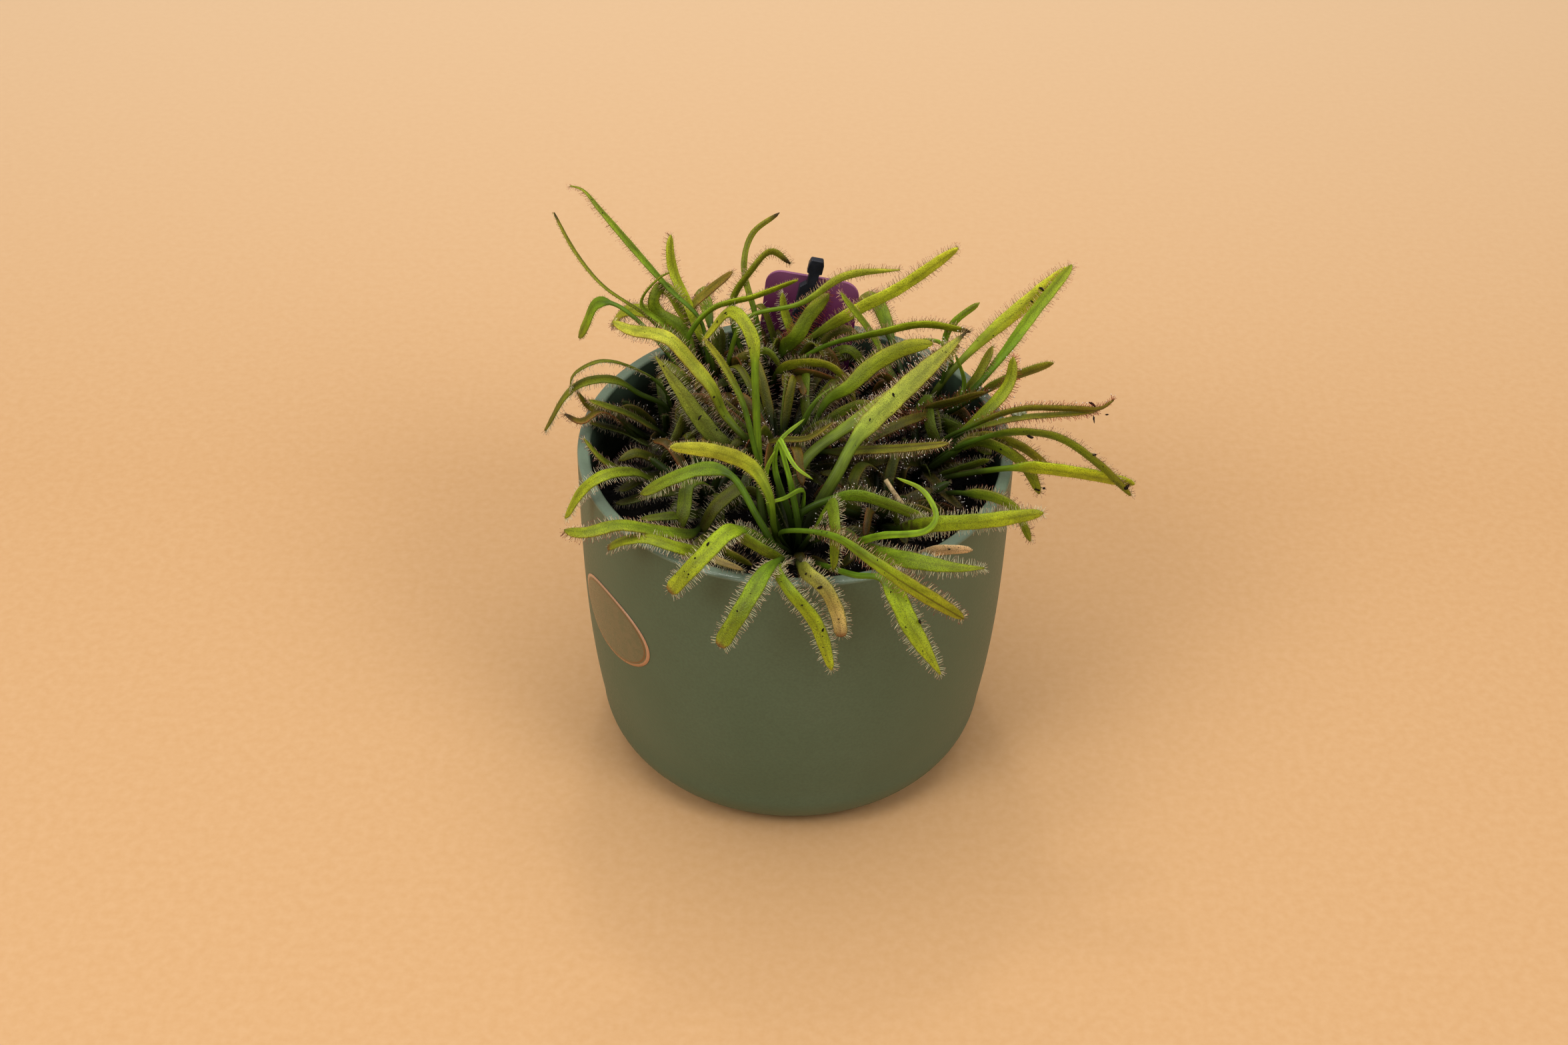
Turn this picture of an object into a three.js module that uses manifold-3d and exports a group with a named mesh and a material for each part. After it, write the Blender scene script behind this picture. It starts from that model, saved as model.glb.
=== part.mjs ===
// Cape sundew (Drosera capensis) growing in a round matte pot, with a blank care tag and a pick.
// Millimetres, +Z up. The pot stands on z = 0 and its axis is the Z axis. The front is -Y.
import * as THREE from "three";
import { mergeVertices } from "three/addons/utils/BufferGeometryUtils.js";
import Module from "manifold-3d";

// Pot
const RIM_RADIUS = 55;
const POT_HEIGHT = 91;
const WALL = 3.2;
const FLOOR = 4;
const BASE_RADIUS = 48.2; // where the wall would meet the table without its rounded corner
const FLARE_POWER = 3.3; // how quickly the wall turns upright on its way to the rim
const CORNER_RADIUS = 14.5;
const RIM_ROUNDING = 0.8;

// Sticker on the wall, left blank
const STICKER_ANGLE = -57; // degrees round the pot from the front, to the left
const STICKER_HEIGHT = 56;
const STICKER_SIZE = [32, 20.5];
const STICKER_THICKNESS = 0.6;

// Soil
const SOIL_TOP = 75.5;
const SOIL_EDGE = 71;
const MOUND_RADIUS = 40; // the soil is level inside this radius and sinks to its edge outside it
const CLOD_HEIGHT = 0.35;

// Rosettes
const STEM_RADIUS = 3;
const STEM_FOOT = 67;
const STEM_TOP = 81;
const LEAF_ROOT = 78.4; // height where the leaves leave the stem
const STALK_THICKNESS = 1.2;
const BLADE_THICKNESS = 0.65;
const STATION_SPACING = 6.8;
const GOLDEN_ANGLE = 137.5;
const TOWARDS_LIGHT = new THREE.Vector3(0, -0.77, 0.64);

// Tag and pick, both pushed into the soil at the back
const TAG_WIDTH = 25;
const TAG_THICKNESS = 0.8;
const TAG_LENGTH = 45;
const TAG_CORNER = 4.4;
const TAG_AT = [0, 46.5];
const TAG_LEAN = 5.5; // degrees to the right
const TAG_YAW = -8; // degrees: its right side stands nearer the front
const PICK_WIDTH = 6;
const PICK_THICKNESS = 2;
const PICK_LENGTH = 52.8;
const PICK_HEAD = [4, 4.2];
const PICK_NECK = [2.7, 3];
const PICK_AT = [-5, 43.2];
const PICK_LEAN = 11; // degrees to the right
const MARKER_FOOT = 66; // height of their lower ends, in the soil

// Clearance between pieces that touch
const GAP = 0.3;
const SOIL_GAP = 0.6; // from the pot's wall

const SEGMENTS = 48;

const wasm = await Module();
wasm.setup();

const radians = THREE.MathUtils.degToRad;

// ---------------------------------------------------------------- solids

function solidOf(geometry) {
  const bare = geometry.clone();
  bare.deleteAttribute("normal");
  bare.deleteAttribute("uv");
  const merged = mergeVertices(bare, 1e-4);
  return new wasm.Manifold(
    new wasm.Mesh({
      numProp: 3,
      vertProperties: merged.attributes.position.array,
      triVerts: new Uint32Array(merged.index.array),
    }),
  );
}

function geometryOf(solid) {
  const mesh = solid.getMesh();
  const geometry = new THREE.BufferGeometry();
  geometry.setAttribute("position", new THREE.BufferAttribute(mesh.vertProperties, 3));
  geometry.setIndex(new THREE.BufferAttribute(mesh.triVerts, 1));
  geometry.computeVertexNormals();
  return geometry;
}

function turned(outline, segments) {
  const points = outline.map(([radius, height]) => new THREE.Vector2(radius, height));
  return new THREE.LatheGeometry(points, segments).rotateX(Math.PI / 2);
}

// An upright eight-sided post, its radius at the foot and at the top given apart.
function post([x, y], foot, top, footRadius, topRadius) {
  const geometry = new THREE.CylinderGeometry(topRadius, footRadius, top - foot, 8);
  geometry.rotateX(Math.PI / 2).translate(x, y, (foot + top) / 2);
  return solidOf(geometry);
}

function named(name, geometry, color, roughness, transparent = false) {
  const material = new THREE.MeshStandardMaterial({ color, roughness, metalness: 0 });
  material.transparent = transparent;
  const mesh = new THREE.Mesh(geometry, material);
  mesh.name = name;
  return mesh;
}

// ---------------------------------------------------------------- pot

function wallRadius(height) {
  const rise = 1 - (1 - height / POT_HEIGHT) ** FLARE_POWER;
  return BASE_RADIUS + (RIM_RADIUS - BASE_RADIUS) * rise;
}

// A quarter round from the floor up into the wall, then the wall itself up to the given height.
function cornerAndWall(inset, floor, corner, top, wallSteps) {
  const points = [];
  const foot = wallRadius(floor + corner) - inset - corner;
  const cornerSteps = 4;
  for (let i = 0; i <= cornerSteps; i++) {
    const angle = (i / cornerSteps) * (Math.PI / 2);
    points.push([foot + corner * Math.sin(angle), floor + corner * (1 - Math.cos(angle))]);
  }
  for (let i = 1; i <= wallSteps; i++) {
    const height = floor + corner + (i / wallSteps) * (top - floor - corner);
    points.push([wallRadius(height) - inset, height]);
  }
  return points;
}

function pot() {
  const shoulder = POT_HEIGHT - RIM_ROUNDING;
  const outside = cornerAndWall(0, 0, CORNER_RADIUS, shoulder, 4);
  const inside = cornerAndWall(WALL, FLOOR, CORNER_RADIUS - WALL, shoulder, 3).reverse();
  const rim = [
    [RIM_RADIUS - 0.3 * RIM_ROUNDING, POT_HEIGHT - 0.3 * RIM_ROUNDING],
    [RIM_RADIUS - RIM_ROUNDING, POT_HEIGHT],
    [RIM_RADIUS - WALL + RIM_ROUNDING, POT_HEIGHT],
    [RIM_RADIUS - WALL + 0.3 * RIM_ROUNDING, POT_HEIGHT - 0.3 * RIM_ROUNDING],
  ];
  return turned([[0, 0], ...outside, ...rim, ...inside, [0, FLOOR]], SEGMENTS);
}

// A thin oval that follows the wall, built as two like-meshed faces and an edge.
function sticker() {
  const around = 24;
  const rings = [0.55, 1];
  const positions = [];
  const index = [];
  const place = (across, up, lift) => {
    const height = STICKER_HEIGHT + up;
    const radius = wallRadius(height) + GAP + lift;
    const angle = radians(STICKER_ANGLE) + across / wallRadius(height);
    positions.push(radius * Math.sin(angle), -radius * Math.cos(angle), height);
  };
  for (const lift of [0, STICKER_THICKNESS]) {
    place(0, 0, lift);
    for (const ring of rings) {
      for (let i = 0; i < around; i++) {
        const angle = (i / around) * 2 * Math.PI;
        const across = (ring * STICKER_SIZE[0] * Math.cos(angle)) / 2;
        const up = (ring * STICKER_SIZE[1] * Math.sin(angle)) / 2;
        place(across, up, lift);
      }
    }
  }
  const face = 1 + rings.length * around;
  const outer = 1 + (rings.length - 1) * around;
  for (let i = 0; i < around; i++) {
    const next = (i + 1) % around;
    const a = 1 + i;
    const b = 1 + next;
    const c = outer + i;
    const d = outer + next;
    index.push(0, b, a, a, b, d, a, d, c);
    index.push(face, face + a, face + b, face + a, face + d, face + b, face + a, face + c, face + d);
    index.push(c, d, face + d, c, face + d, face + c);
  }
  const geometry = new THREE.BufferGeometry();
  geometry.setAttribute("position", new THREE.Float32BufferAttribute(positions, 3));
  geometry.setIndex(index);
  return geometry;
}

// ---------------------------------------------------------------- soil

function clods(x, y) {
  return CLOD_HEIGHT * (Math.sin(0.55 * x + 0.3 * y) + Math.sin(0.42 * y - 0.5 * x + 2));
}

function soil() {
  const inset = WALL + SOIL_GAP;
  const floor = FLOOR + GAP;
  const side = cornerAndWall(inset, floor, CORNER_RADIUS - inset, SOIL_EDGE, 3);
  const edge = wallRadius(SOIL_EDGE) - inset;
  const top = [
    [(edge + MOUND_RADIUS) / 2, (SOIL_EDGE + 2 * SOIL_TOP) / 3],
    [MOUND_RADIUS, SOIL_TOP],
    [0.67 * MOUND_RADIUS, SOIL_TOP],
    [0.33 * MOUND_RADIUS, SOIL_TOP],
    [0, SOIL_TOP],
  ];
  const geometry = turned([[0, floor], ...side, ...top], 32);
  const position = geometry.attributes.position;
  for (let i = 0; i < position.count; i++) {
    if (position.getZ(i) < SOIL_TOP - 0.01) continue;
    position.setZ(i, SOIL_TOP + clods(position.getX(i), position.getY(i)));
  }
  const holeRadius = STEM_RADIUS + GAP;
  const holes = Object.values(ROSETTES).map(({ at }) =>
    post(at, STEM_FOOT - GAP, STEM_TOP, holeRadius, holeRadius),
  );
  holes.push(solidOf(tagPlate(GAP)), solidOf(pickBar(GAP)));
  return geometryOf(wasm.Manifold.difference([solidOf(geometry), ...holes]));
}

// ---------------------------------------------------------------- rosettes

// Each leaf: blade width, stalk width, turn of the blade about its midline (0 = its back faces the
// light), share of the leaf that is stalk, then its midline from above the stem out to the tip.
const ROSETTES = {
  rosette_front: {
    at: [0, -30],
    phase: 60,
    young: 6,
    leaves: [
      [3.2, 1.9, 45, 0.7, [-9, -27, 106], [-13, -22, 120], [-18, -17, 128], [-22, -14, 132]],
      [
        4.7, 2.3, 10, 0.62,
        [-7, -30, 88], [-9, -22, 104], [-10, -16, 120], [-11, -11, 131], [-16, -5, 134], [-23, -3, 124],
      ],
      [
        6.2, 3, 0, 0.5,
        [4, -27, 88], [10, -23, 99], [15, -17, 106], [25, -10, 114], [33, -4, 119], [41, 2, 124],
      ],
      [5, 2.8, -20, 0.46, [0, -22, 88], [2, -16, 97], [15, -10, 106], [27, -6, 114], [39, 2, 121]],
      [
        4.8, 1.5, -20, 0.5,
        [-3, -38, 86], [-5, -41, 97], [-6, -41, 106], [-10, -39, 113], [-18, -41, 119], [-29, -43, 122],
      ],
      [
        4.6, 1.7, 30, 0.66,
        [-4, -43, 91], [-9, -42, 101], [-15, -37, 109], [-21, -34, 109], [-29, -34, 106], [-37, -33, 100],
      ],
      [1.7, 1.7, 0, 0.6, [-1, -32, 92], [-5, -27, 104], [-4, -26, 111], [2, -22, 115]],
      [1.9, 1.9, 0, 0.5, [1, -35, 90], [-1, -32, 102], [-4, -29, 114], [0, -37, 112], [4, -39, 110]],
      [1.7, 1.7, 0, 0.5, [1, -32, 90], [2, -32, 101], [-3, -39, 104], [-7, -42, 105]],
      [4.6, 2, 25, 0.4, [-2, -50, 93], [-4, -57, 97], [-1, -63, 96], [5, -66, 89], [9, -71, 79]],
      [4.6, 1.8, 25, 0.44, [1, -49, 92], [3, -59, 98], [7, -63, 97], [10, -65, 91], [11, -67, 86]],
      [5.6, 1.5, 0, 0.64, [7, -49, 92], [14, -58, 97], [21, -62, 99], [27, -69, 91], [34, -74, 81]],
      [5.6, 1.5, 30, 0.44, [-3, -44, 98], [9, -55, 106], [18, -64, 106], [27, -67, 101], [39, -67, 92]],
      [4.4, 1.6, 40, 0.4, [4, -42, 96], [8, -44, 107], [9, -51, 106], [9, -54, 95]],
      [3.8, 1.8, 30, 0.55, [1, -33, 94], [8, -33, 99], [15, -35, 102], [23, -36, 100], [32, -38, 97]],
      [5.2, 1.9, 15, 0.42, [-3, -49, 94], [-7, -61, 100], [-11, -68, 97], [-17, -72, 87]],
      [5.2, 1.5, 20, 0.52, [-4, -39, 88], [-9, -45, 97], [-15, -52, 105], [-22, -58, 101], [-29, -60, 93]],
      [4.4, 1.5, 40, 0.5, [-4, -42, 92], [-14, -48, 101], [-7, -50, 97], [-2, -48, 92]],
      [1.9, 1.9, 0, 0.6, [-5, -35, 94], [-7, -32, 106], [-5, -31, 112]],
    ],
  },
  rosette_front_left: {
    at: [-22, -12],
    phase: 340,
    young: 6,
    leaves: [
      [4.6, 1.8, 42, 0.42, [-21, -42, 90], [-27, -49, 97], [-35, -48, 99], [-41, -47, 97], [-44, -47, 95]],
      [4.6, 1.5, 45, 0.45, [-25, -39, 93], [-32, -44, 98], [-41, -47, 102], [-49, -50, 102], [-54, -47, 100]],
      [4.8, 2, 20, 0.42, [-20, -21, 90], [-23, -24, 97], [-26, -28, 99], [-27, -34, 95], [-29, -35, 89]],
      [4.6, 1.8, 25, 0.4, [-17, -25, 90], [-13, -27, 98], [-19, -32, 96], [-23, -33, 88]],
      [4, 1.5, 58, 0.4, [-19, -34, 86], [-16, -45, 92], [-10, -48, 91]],
      [4, 1.5, 50, 0.4, [-25, -13, 84], [-34, -20, 90], [-44, -22, 88]],
    ],
  },
  rosette_left: {
    at: [-33, 14],
    phase: 130,
    young: 5,
    leaves: [
      [4.6, 2, 20, 0.45, [-29, 6, 88], [-29, 6, 98]],
      [
        4, 1.6, 55, 0.5,
        [-33, 12, 92], [-40, 9, 99], [-46, 8, 104], [-53, 7, 104], [-58, 7, 100], [-64, 6, 89],
      ],
      [3.2, 1.2, 72, 0.5, [-33, 13, 96], [-40, 12, 104], [-49, 9, 109], [-56, 7, 106], [-57, 6, 102]],
      [3.8, 1.5, 48, 0.5, [-40, 7, 88], [-47, 7, 94], [-52, 7, 96], [-55, 6, 101]],
      [3.2, 1.4, 54, 0.42, [-32, 9, 84], [-41, 6, 94], [-46, 4, 98], [-52, 3, 101]],
      [3.8, 1.5, 56, 0.55, [-40, 7, 86], [-49, 3, 98], [-54, 1, 96], [-58, 1, 98]],
      [3.4, 1.4, 60, 0.4, [-36, 6, 84], [-43, 7, 88], [-53, 5, 93]],
      [3, 1.4, 50, 0.45, [-39, -7, 86], [-47, -14, 95], [-52, -13, 101]],
      [4.4, 1.7, 42, 0.4, [-34, -10, 86], [-40, -19, 96], [-47, -25, 99], [-52, -26, 95], [-56, -28, 88]],
      [4, 1.5, 45, 0.4, [-32, 7, 80], [-35, 5, 86], [-39, 4, 82]],
      [4, 1.5, 50, 0.4, [-33, -1, 82], [-38, -14, 90], [-43, -22, 92]],
    ],
  },
  rosette_back_left: {
    at: [-20, 33],
    phase: 30,
    young: 5,
    leaves: [
      [
        3.4, 1.4, 66, 0.45,
        [-23, 28, 96], [-25, 29, 108], [-33, 34, 114], [-44, 41, 124],
        [-51, 46, 130], [-56, 51, 133], [-59, 51, 134],
      ],
      [2.4, 1.4, 72, 0.4, [-29, 28, 95], [-38, 32, 106], [-50, 35, 114], [-58, 45, 118], [-64, 54, 124]],
      [
        4, 1.1, 44, 0.76,
        [-29, 25, 94], [-40, 28, 107], [-47, 31, 111], [-52, 33, 110], [-55, 32, 104], [-57, 33, 99],
      ],
      [4.6, 1.8, 40, 0.44, [-22, 29, 94], [-27, 33, 107], [-32, 40, 115], [-33, 42, 120], [-33, 44, 124]],
      [4, 1.2, -44, 0.55, [-25, 33, 95], [-28, 35, 107], [-24, 37, 111], [-17, 38, 117]],
      [
        4.2, 1.6, 25, 0.36,
        [-26, 28, 92], [-30, 31, 104], [-36, 32, 108], [-37, 32, 112],
        [-35, 35, 114], [-32, 34, 112], [-30, 33, 108], [-28, 32, 104],
      ],
      [3, 1.3, 62, 0.5, [-27, 25, 94], [-34, 29, 106], [-40, 30, 112], [-36, 32, 118], [-33, 34, 119]],
      [2.8, 1.6, 60, 0.5, [-28, 29, 95], [-28, 27, 104], [-22, 28, 112], [-11, 31, 114], [0, 33, 118]],
      [3.6, 1.5, 42, 0.62, [-18, 27, 95], [-13, 27, 110], [1, 27, 115], [12, 32, 120], [26, 34, 121]],
      [4.6, 1.8, 10, 0.45, [-22, 43, 90], [-25, 55, 97], [-27, 65, 93], [-28, 71, 83]],
      [4.4, 1.8, 10, 0.45, [-28, 38, 90], [-37, 46, 97], [-46, 55, 93], [-51, 61, 84]],
    ],
  },
  rosette_back: {
    at: [-2, 38],
    phase: 220,
    young: 3,
    leaves: [
      [2, 1.9, 0, 0.55, [-8, 33, 92], [-11, 34, 107], [-14, 40, 117], [-12, 45, 124], [-5, 46, 130]],
      [2.8, 1.6, 50, 0.55, [-13, 34, 92], [-17, 36, 108], [-12, 37, 118], [-7, 40, 122], [-2, 39, 119]],
      [4.4, 1.9, 32, 0.42, [-1, 33, 95], [16, 35, 108], [26, 37, 113], [41, 40, 124]],
      [5.2, 1.5, 15, 0.5, [-5, 31, 93], [-3, 30, 99], [0, 28, 104], [3, 30, 109], [8, 33, 114]],
      [4.4, 1.8, 48, 0.42, [0, 33, 92], [-1, 32, 102], [-3, 34, 107], [-4, 36, 112]],
      [3.6, 1.4, 57, 0.5, [-1, 27, 95], [8, 23, 105], [21, 20, 111], [32, 21, 113], [44, 21, 111]],
      [3.6, 1.5, 55, 0.42, [-6, 27, 90], [-3, 24, 97], [8, 18, 102], [13, 16, 98], [15, 14, 90]],
      [4.4, 1.8, 45, 0.4, [0, 25, 90], [2, 21, 97], [2, 16, 94], [3, 9, 89]],
      [4.2, 1.5, 60, 0.42, [-4, 29, 88], [-1, 25, 94], [4, 20, 98], [11, 18, 97]],
    ],
  },
  rosette_middle: {
    at: [-4, 6],
    phase: 300,
    young: 6,
    leaves: [
      [5, 2.2, 0, 0.3, [-11, 1, 84], [-18, -2, 91], [-23, -1, 97], [-29, 1, 106], [-35, 4, 114]],
      [
        5.2, 1.6, 25, 0.3,
        [-12, -1, 92], [-18, 1, 99], [-21, 1, 107], [-26, 3, 113],
        [-32, 5, 119], [-42, 10, 118], [-46, 13, 118],
      ],
      [3.7, 1.6, -43, 0.42, [4, -1, 88], [14, -12, 98], [27, -17, 103], [37, -19, 106]],
      [
        5.8, 1.9, 10, 0.45,
        [4, 5, 92], [8, 6, 100], [13, 6, 104], [19, 10, 108], [27, 12, 112], [34, 13, 113],
      ],
      [3.4, 1.4, -55, 0.42, [-9, -1, 90], [-4, -8, 98], [3, -11, 101], [9, -10, 105]],
      [1.8, 1.8, 0, 0.5, [1, 7, 90], [5, 8, 98], [11, 9, 103]],
    ],
  },
  rosette_back_right: {
    at: [32, 24],
    phase: 150,
    young: 5,
    leaves: [
      [4.2, 1.8, 58, 0.4, [26, 23, 93], [20, 27, 105], [11, 29, 117]],
      [5, 1.8, 15, 0.44, [37, 21, 94], [46, 26, 103], [59, 33, 112], [70, 38, 120]],
      [4.8, 2.2, -42, 0.46, [42, 16, 92], [52, 20, 104], [60, 27, 113], [70, 36, 122]],
      [2.5, 1.1, 0, 0.66, [38, 21, 98], [38, 24, 107], [40, 24, 112], [46, 24, 118]],
      [4.2, 1.8, -48, 0.5, [41, 18, 92], [45, 18, 97], [50, 22, 106]],
      [4.2, 1.6, 53, 0.62, [40, 13, 92], [52, 12, 102], [65, 15, 106]],
      [4.4, 1.7, 55, 0.4, [35, 9, 96], [41, 8, 99], [48, 9, 101]],
      [4.4, 1.8, 40, 0.42, [35, 10, 90], [40, 6, 92], [49, 3, 86]],
      [4.4, 1.8, 40, 0.42, [31, 13, 92], [33, 14, 95], [34, 5, 93], [37, 1, 87]],
      [1.9, 1.2, 0, 0.5, [40, 24, 99], [37, 23, 106], [32, 22, 108]],
      [1.5, 1.5, 0, 0.6, [42, 15, 94], [43, 17, 98], [40, 16, 108]],
      [4.6, 1.8, 10, 0.45, [27, 37, 90], [22, 53, 97], [18, 64, 93], [16, 70, 84]],
    ],
  },
  rosette_right: {
    at: [31, 1],
    phase: 180,
    young: 4,
    leaves: [
      [4.8, 2, -38, 0.42, [38, -1, 90], [46, 1, 99], [53, 6, 106], [54, 9, 112]],
      [
        4.4, 1.5, 65, 0.45,
        [35, -2, 92], [44, -5, 101], [55, -5, 106], [67, -3, 105], [76, 0, 103], [79, 1, 105],
      ],
      [4.4, 1.4, -67, 0.45, [35, -1, 90], [43, -2, 97], [54, -3, 102], [67, -2, 103], [75, 2, 101]],
      [
        4.4, 1.5, 66, 0.48,
        [38, -6, 93], [48, -13, 104], [56, -17, 108], [64, -18, 107], [73, -21, 102], [82, -22, 93],
      ],
      [4.2, 1.6, 52, 0.45, [37, -5, 90], [46, -6, 98], [55, -12, 100], [63, -15, 95]],
      [4.8, 1.6, 45, 0.56, [35, -6, 84], [41, -11, 90], [55, -18, 98], [68, -21, 99], [83, -20, 95]],
      [4.4, 1.7, 48, 0.45, [36, -6, 90], [44, -8, 98], [50, -10, 98], [57, -11, 93], [61, -13, 86]],
      [2.4, 1.8, 0, 0.3, [35, -1, 84], [41, -4, 92]],
      [3.6, 1.5, 52, 0.45, [35, -5, 84], [41, -9, 90], [48, -11, 95]],
      [4, 1.3, 48, 0.6, [35, -8, 82], [41, -22, 93], [48, -26, 95], [53, -29, 94], [57, -34, 88]],
    ],
  },
  rosette_front_right: {
    at: [21, -18],
    phase: 40,
    young: 6,
    leaves: [
      [5, 2.2, 18, 0.36, [25, -33, 90], [33, -44, 101], [45, -46, 104], [58, -44, 105]],
      [4.6, 1.5, -12, 0.4, [17, -43, 92], [25, -53, 98], [37, -57, 99], [44, -56, 98]],
      [
        2.6, 2.6, 0, 0.3,
        [13, -41, 92], [20, -52, 104], [30, -57, 110], [32, -56, 113], [29, -50, 116], [23, -48, 118],
      ],
      [3.6, 1.5, 50, 0.45, [21, -29, 92], [23, -32, 96], [25, -32, 90]],
      [4.2, 1.6, 45, 0.35, [23, -23, 86], [26, -27, 92], [33, -31, 93], [36, -33, 89]],
      [4.2, 1.6, 40, 0.35, [22, -11, 88], [17, -12, 94], [14, -18, 92], [16, -22, 87]],
    ],
  },
};

// Half the width and half the thickness of a leaf, a given share of the way from stem to tip.
// The blade opens out soon after the stalk, narrows slowly and ends in a blunt point.
function leafSize(share, bladeWidth, stalkWidth, stalkShare) {
  const { lerp, smoothstep, clamp } = THREE.MathUtils;
  const past = (share - stalkShare) / (1 - stalkShare);
  const opening = smoothstep(past, -0.1, 0.16);
  const taper = 1 - 0.3 * clamp(past, 0, 1);
  const nearTip = clamp((past - 0.76) / 0.24, 0, 1);
  const tip = 0.3 + 0.7 * Math.sqrt(1 - nearTip ** 2);
  const width = lerp(stalkWidth, bladeWidth * taper, opening) * tip;
  const stalkThickness = Math.min(STALK_THICKNESS, 0.75 * stalkWidth);
  const thickness = lerp(stalkThickness, BLADE_THICKNESS, opening);
  return [width / 2, thickness / 2];
}

// The directions of the blade's back at each station, carried along the midline from mid-blade.
function backDirections(tangents, middle, turn) {
  const backs = [];
  const start = TOWARDS_LIGHT.clone().projectOnPlane(tangents[middle]).normalize();
  backs[middle] = start.applyAxisAngle(tangents[middle], radians(turn));
  for (let i = middle - 1; i >= 0; i--) {
    backs[i] = backs[i + 1].clone().projectOnPlane(tangents[i]).normalize();
  }
  for (let i = middle + 1; i < tangents.length; i++) {
    backs[i] = backs[i - 1].clone().projectOnPlane(tangents[i]).normalize();
  }
  return backs;
}

// A strap swept along its midline, four corners a station, closed at both ends.
function leaf(root, [bladeWidth, stalkWidth, turn, stalkShare, ...midline]) {
  const points = [root, ...midline].map((point) => new THREE.Vector3(...point));
  const curve = new THREE.CatmullRomCurve3(points, false, "centripetal");
  const steps = Math.max(3, Math.round(curve.getLength() / STATION_SPACING));
  const shares = Array.from({ length: steps + 1 }, (_, i) => i / steps);
  const tangents = shares.map((share) => curve.getTangentAt(share));
  const middle = Math.round(((1 + stalkShare) / 2) * steps);
  const backs = backDirections(tangents, middle, turn);
  const positions = [];
  const index = [];
  shares.forEach((share, i) => {
    const [halfWidth, halfThickness] = leafSize(share, bladeWidth, stalkWidth, stalkShare);
    const centre = curve.getPointAt(share);
    const side = new THREE.Vector3().crossVectors(tangents[i], backs[i]);
    const corners = [
      [-1, halfThickness],
      [1, halfThickness],
      [1, -halfThickness],
      [-1, -halfThickness],
    ];
    for (const [across, up] of corners) {
      const corner = centre.clone();
      corner.addScaledVector(side, across * halfWidth);
      corner.addScaledVector(backs[i], up);
      positions.push(corner.x, corner.y, corner.z);
    }
    if (i === 0) return;
    for (let k = 0; k < 4; k++) {
      const a = (i - 1) * 4 + k;
      const b = (i - 1) * 4 + ((k + 1) % 4);
      index.push(a, b, b + 4, a, b + 4, a + 4);
    }
  });
  const last = 4 * steps;
  index.push(0, 3, 2, 0, 2, 1);
  index.push(last, last + 2, last + 3, last, last + 1, last + 2);
  return new wasm.Manifold(
    new wasm.Mesh({
      numProp: 3,
      vertProperties: new Float32Array(positions),
      triVerts: new Uint32Array(index),
    }),
  );
}

// Young leaves around the heart of a rosette, each a golden angle on and leaning out further.
function youngLeaf(at, phase, number) {
  const angle = radians(phase + GOLDEN_ANGLE * number);
  const lean = radians(14 + 7 * number);
  const length = 15 + 1.6 * number;
  const outward = [Math.cos(angle) * Math.sin(lean), Math.sin(angle) * Math.sin(lean)];
  const point = (share, droop) => [
    at[0] + outward[0] * length * share,
    at[1] + outward[1] * length * share,
    LEAF_ROOT + length * share * Math.cos(lean) - droop,
  ];
  return [2.6 + 0.15 * number, 1.8, 0, 0.35, point(0.5, 0), point(1, 1 + 0.2 * number)];
}

function rosette({ at, phase, young, leaves }) {
  const root = [at[0], at[1], LEAF_ROOT];
  const pieces = [post(at, STEM_FOOT, STEM_TOP, STEM_RADIUS, 0.8 * STEM_RADIUS)];
  for (const entry of leaves) pieces.push(leaf(root, entry));
  for (let number = 0; number < young; number++) {
    pieces.push(leaf(root, youngLeaf(at, phase, number)));
  }
  return geometryOf(wasm.Manifold.union(pieces));
}

// ---------------------------------------------------------------- tag and pick

function plate(outline, thickness) {
  const geometry = new THREE.ExtrudeGeometry(outline, {
    depth: thickness,
    bevelEnabled: false,
    curveSegments: 5,
  });
  return geometry.translate(0, 0, -thickness / 2).rotateX(Math.PI / 2);
}

function tagPlate(grow) {
  const half = TAG_WIDTH / 2 + grow;
  const corner = TAG_CORNER;
  const shoulder = TAG_LENGTH - corner;
  const outline = new THREE.Shape();
  outline.moveTo(-half, -grow);
  outline.lineTo(half, -grow);
  outline.lineTo(half, shoulder);
  outline.absarc(half - corner, shoulder, corner, 0, Math.PI / 2);
  outline.absarc(-half + corner, shoulder, corner, Math.PI / 2, Math.PI);
  return plate(outline, TAG_THICKNESS + 2 * grow)
    .rotateY(radians(TAG_LEAN))
    .rotateZ(radians(TAG_YAW))
    .translate(TAG_AT[0], TAG_AT[1], MARKER_FOOT);
}

function pickBar(grow) {
  const half = PICK_WIDTH / 2 + grow;
  const bar = PICK_LENGTH - PICK_HEAD[1] - PICK_NECK[1];
  const shoulder = bar - 1.5;
  const outline = new THREE.Shape();
  outline.moveTo(-half, -grow);
  outline.lineTo(half, -grow);
  outline.lineTo(half, shoulder);
  outline.lineTo(PICK_NECK[0] / 2, bar);
  outline.lineTo(PICK_NECK[0] / 2, bar + PICK_NECK[1]);
  outline.lineTo(PICK_HEAD[0] / 2, bar + PICK_NECK[1]);
  outline.lineTo(0.8 * (PICK_HEAD[0] / 2), PICK_LENGTH);
  outline.lineTo(-0.8 * (PICK_HEAD[0] / 2), PICK_LENGTH);
  outline.lineTo(-PICK_HEAD[0] / 2, bar + PICK_NECK[1]);
  outline.lineTo(-PICK_NECK[0] / 2, bar + PICK_NECK[1]);
  outline.lineTo(-PICK_NECK[0] / 2, bar);
  outline.lineTo(-half, shoulder);
  return plate(outline, PICK_THICKNESS + 2 * grow)
    .rotateY(radians(PICK_LEAN))
    .translate(PICK_AT[0], PICK_AT[1], MARKER_FOOT);
}

// ---------------------------------------------------------------- assembly

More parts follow.
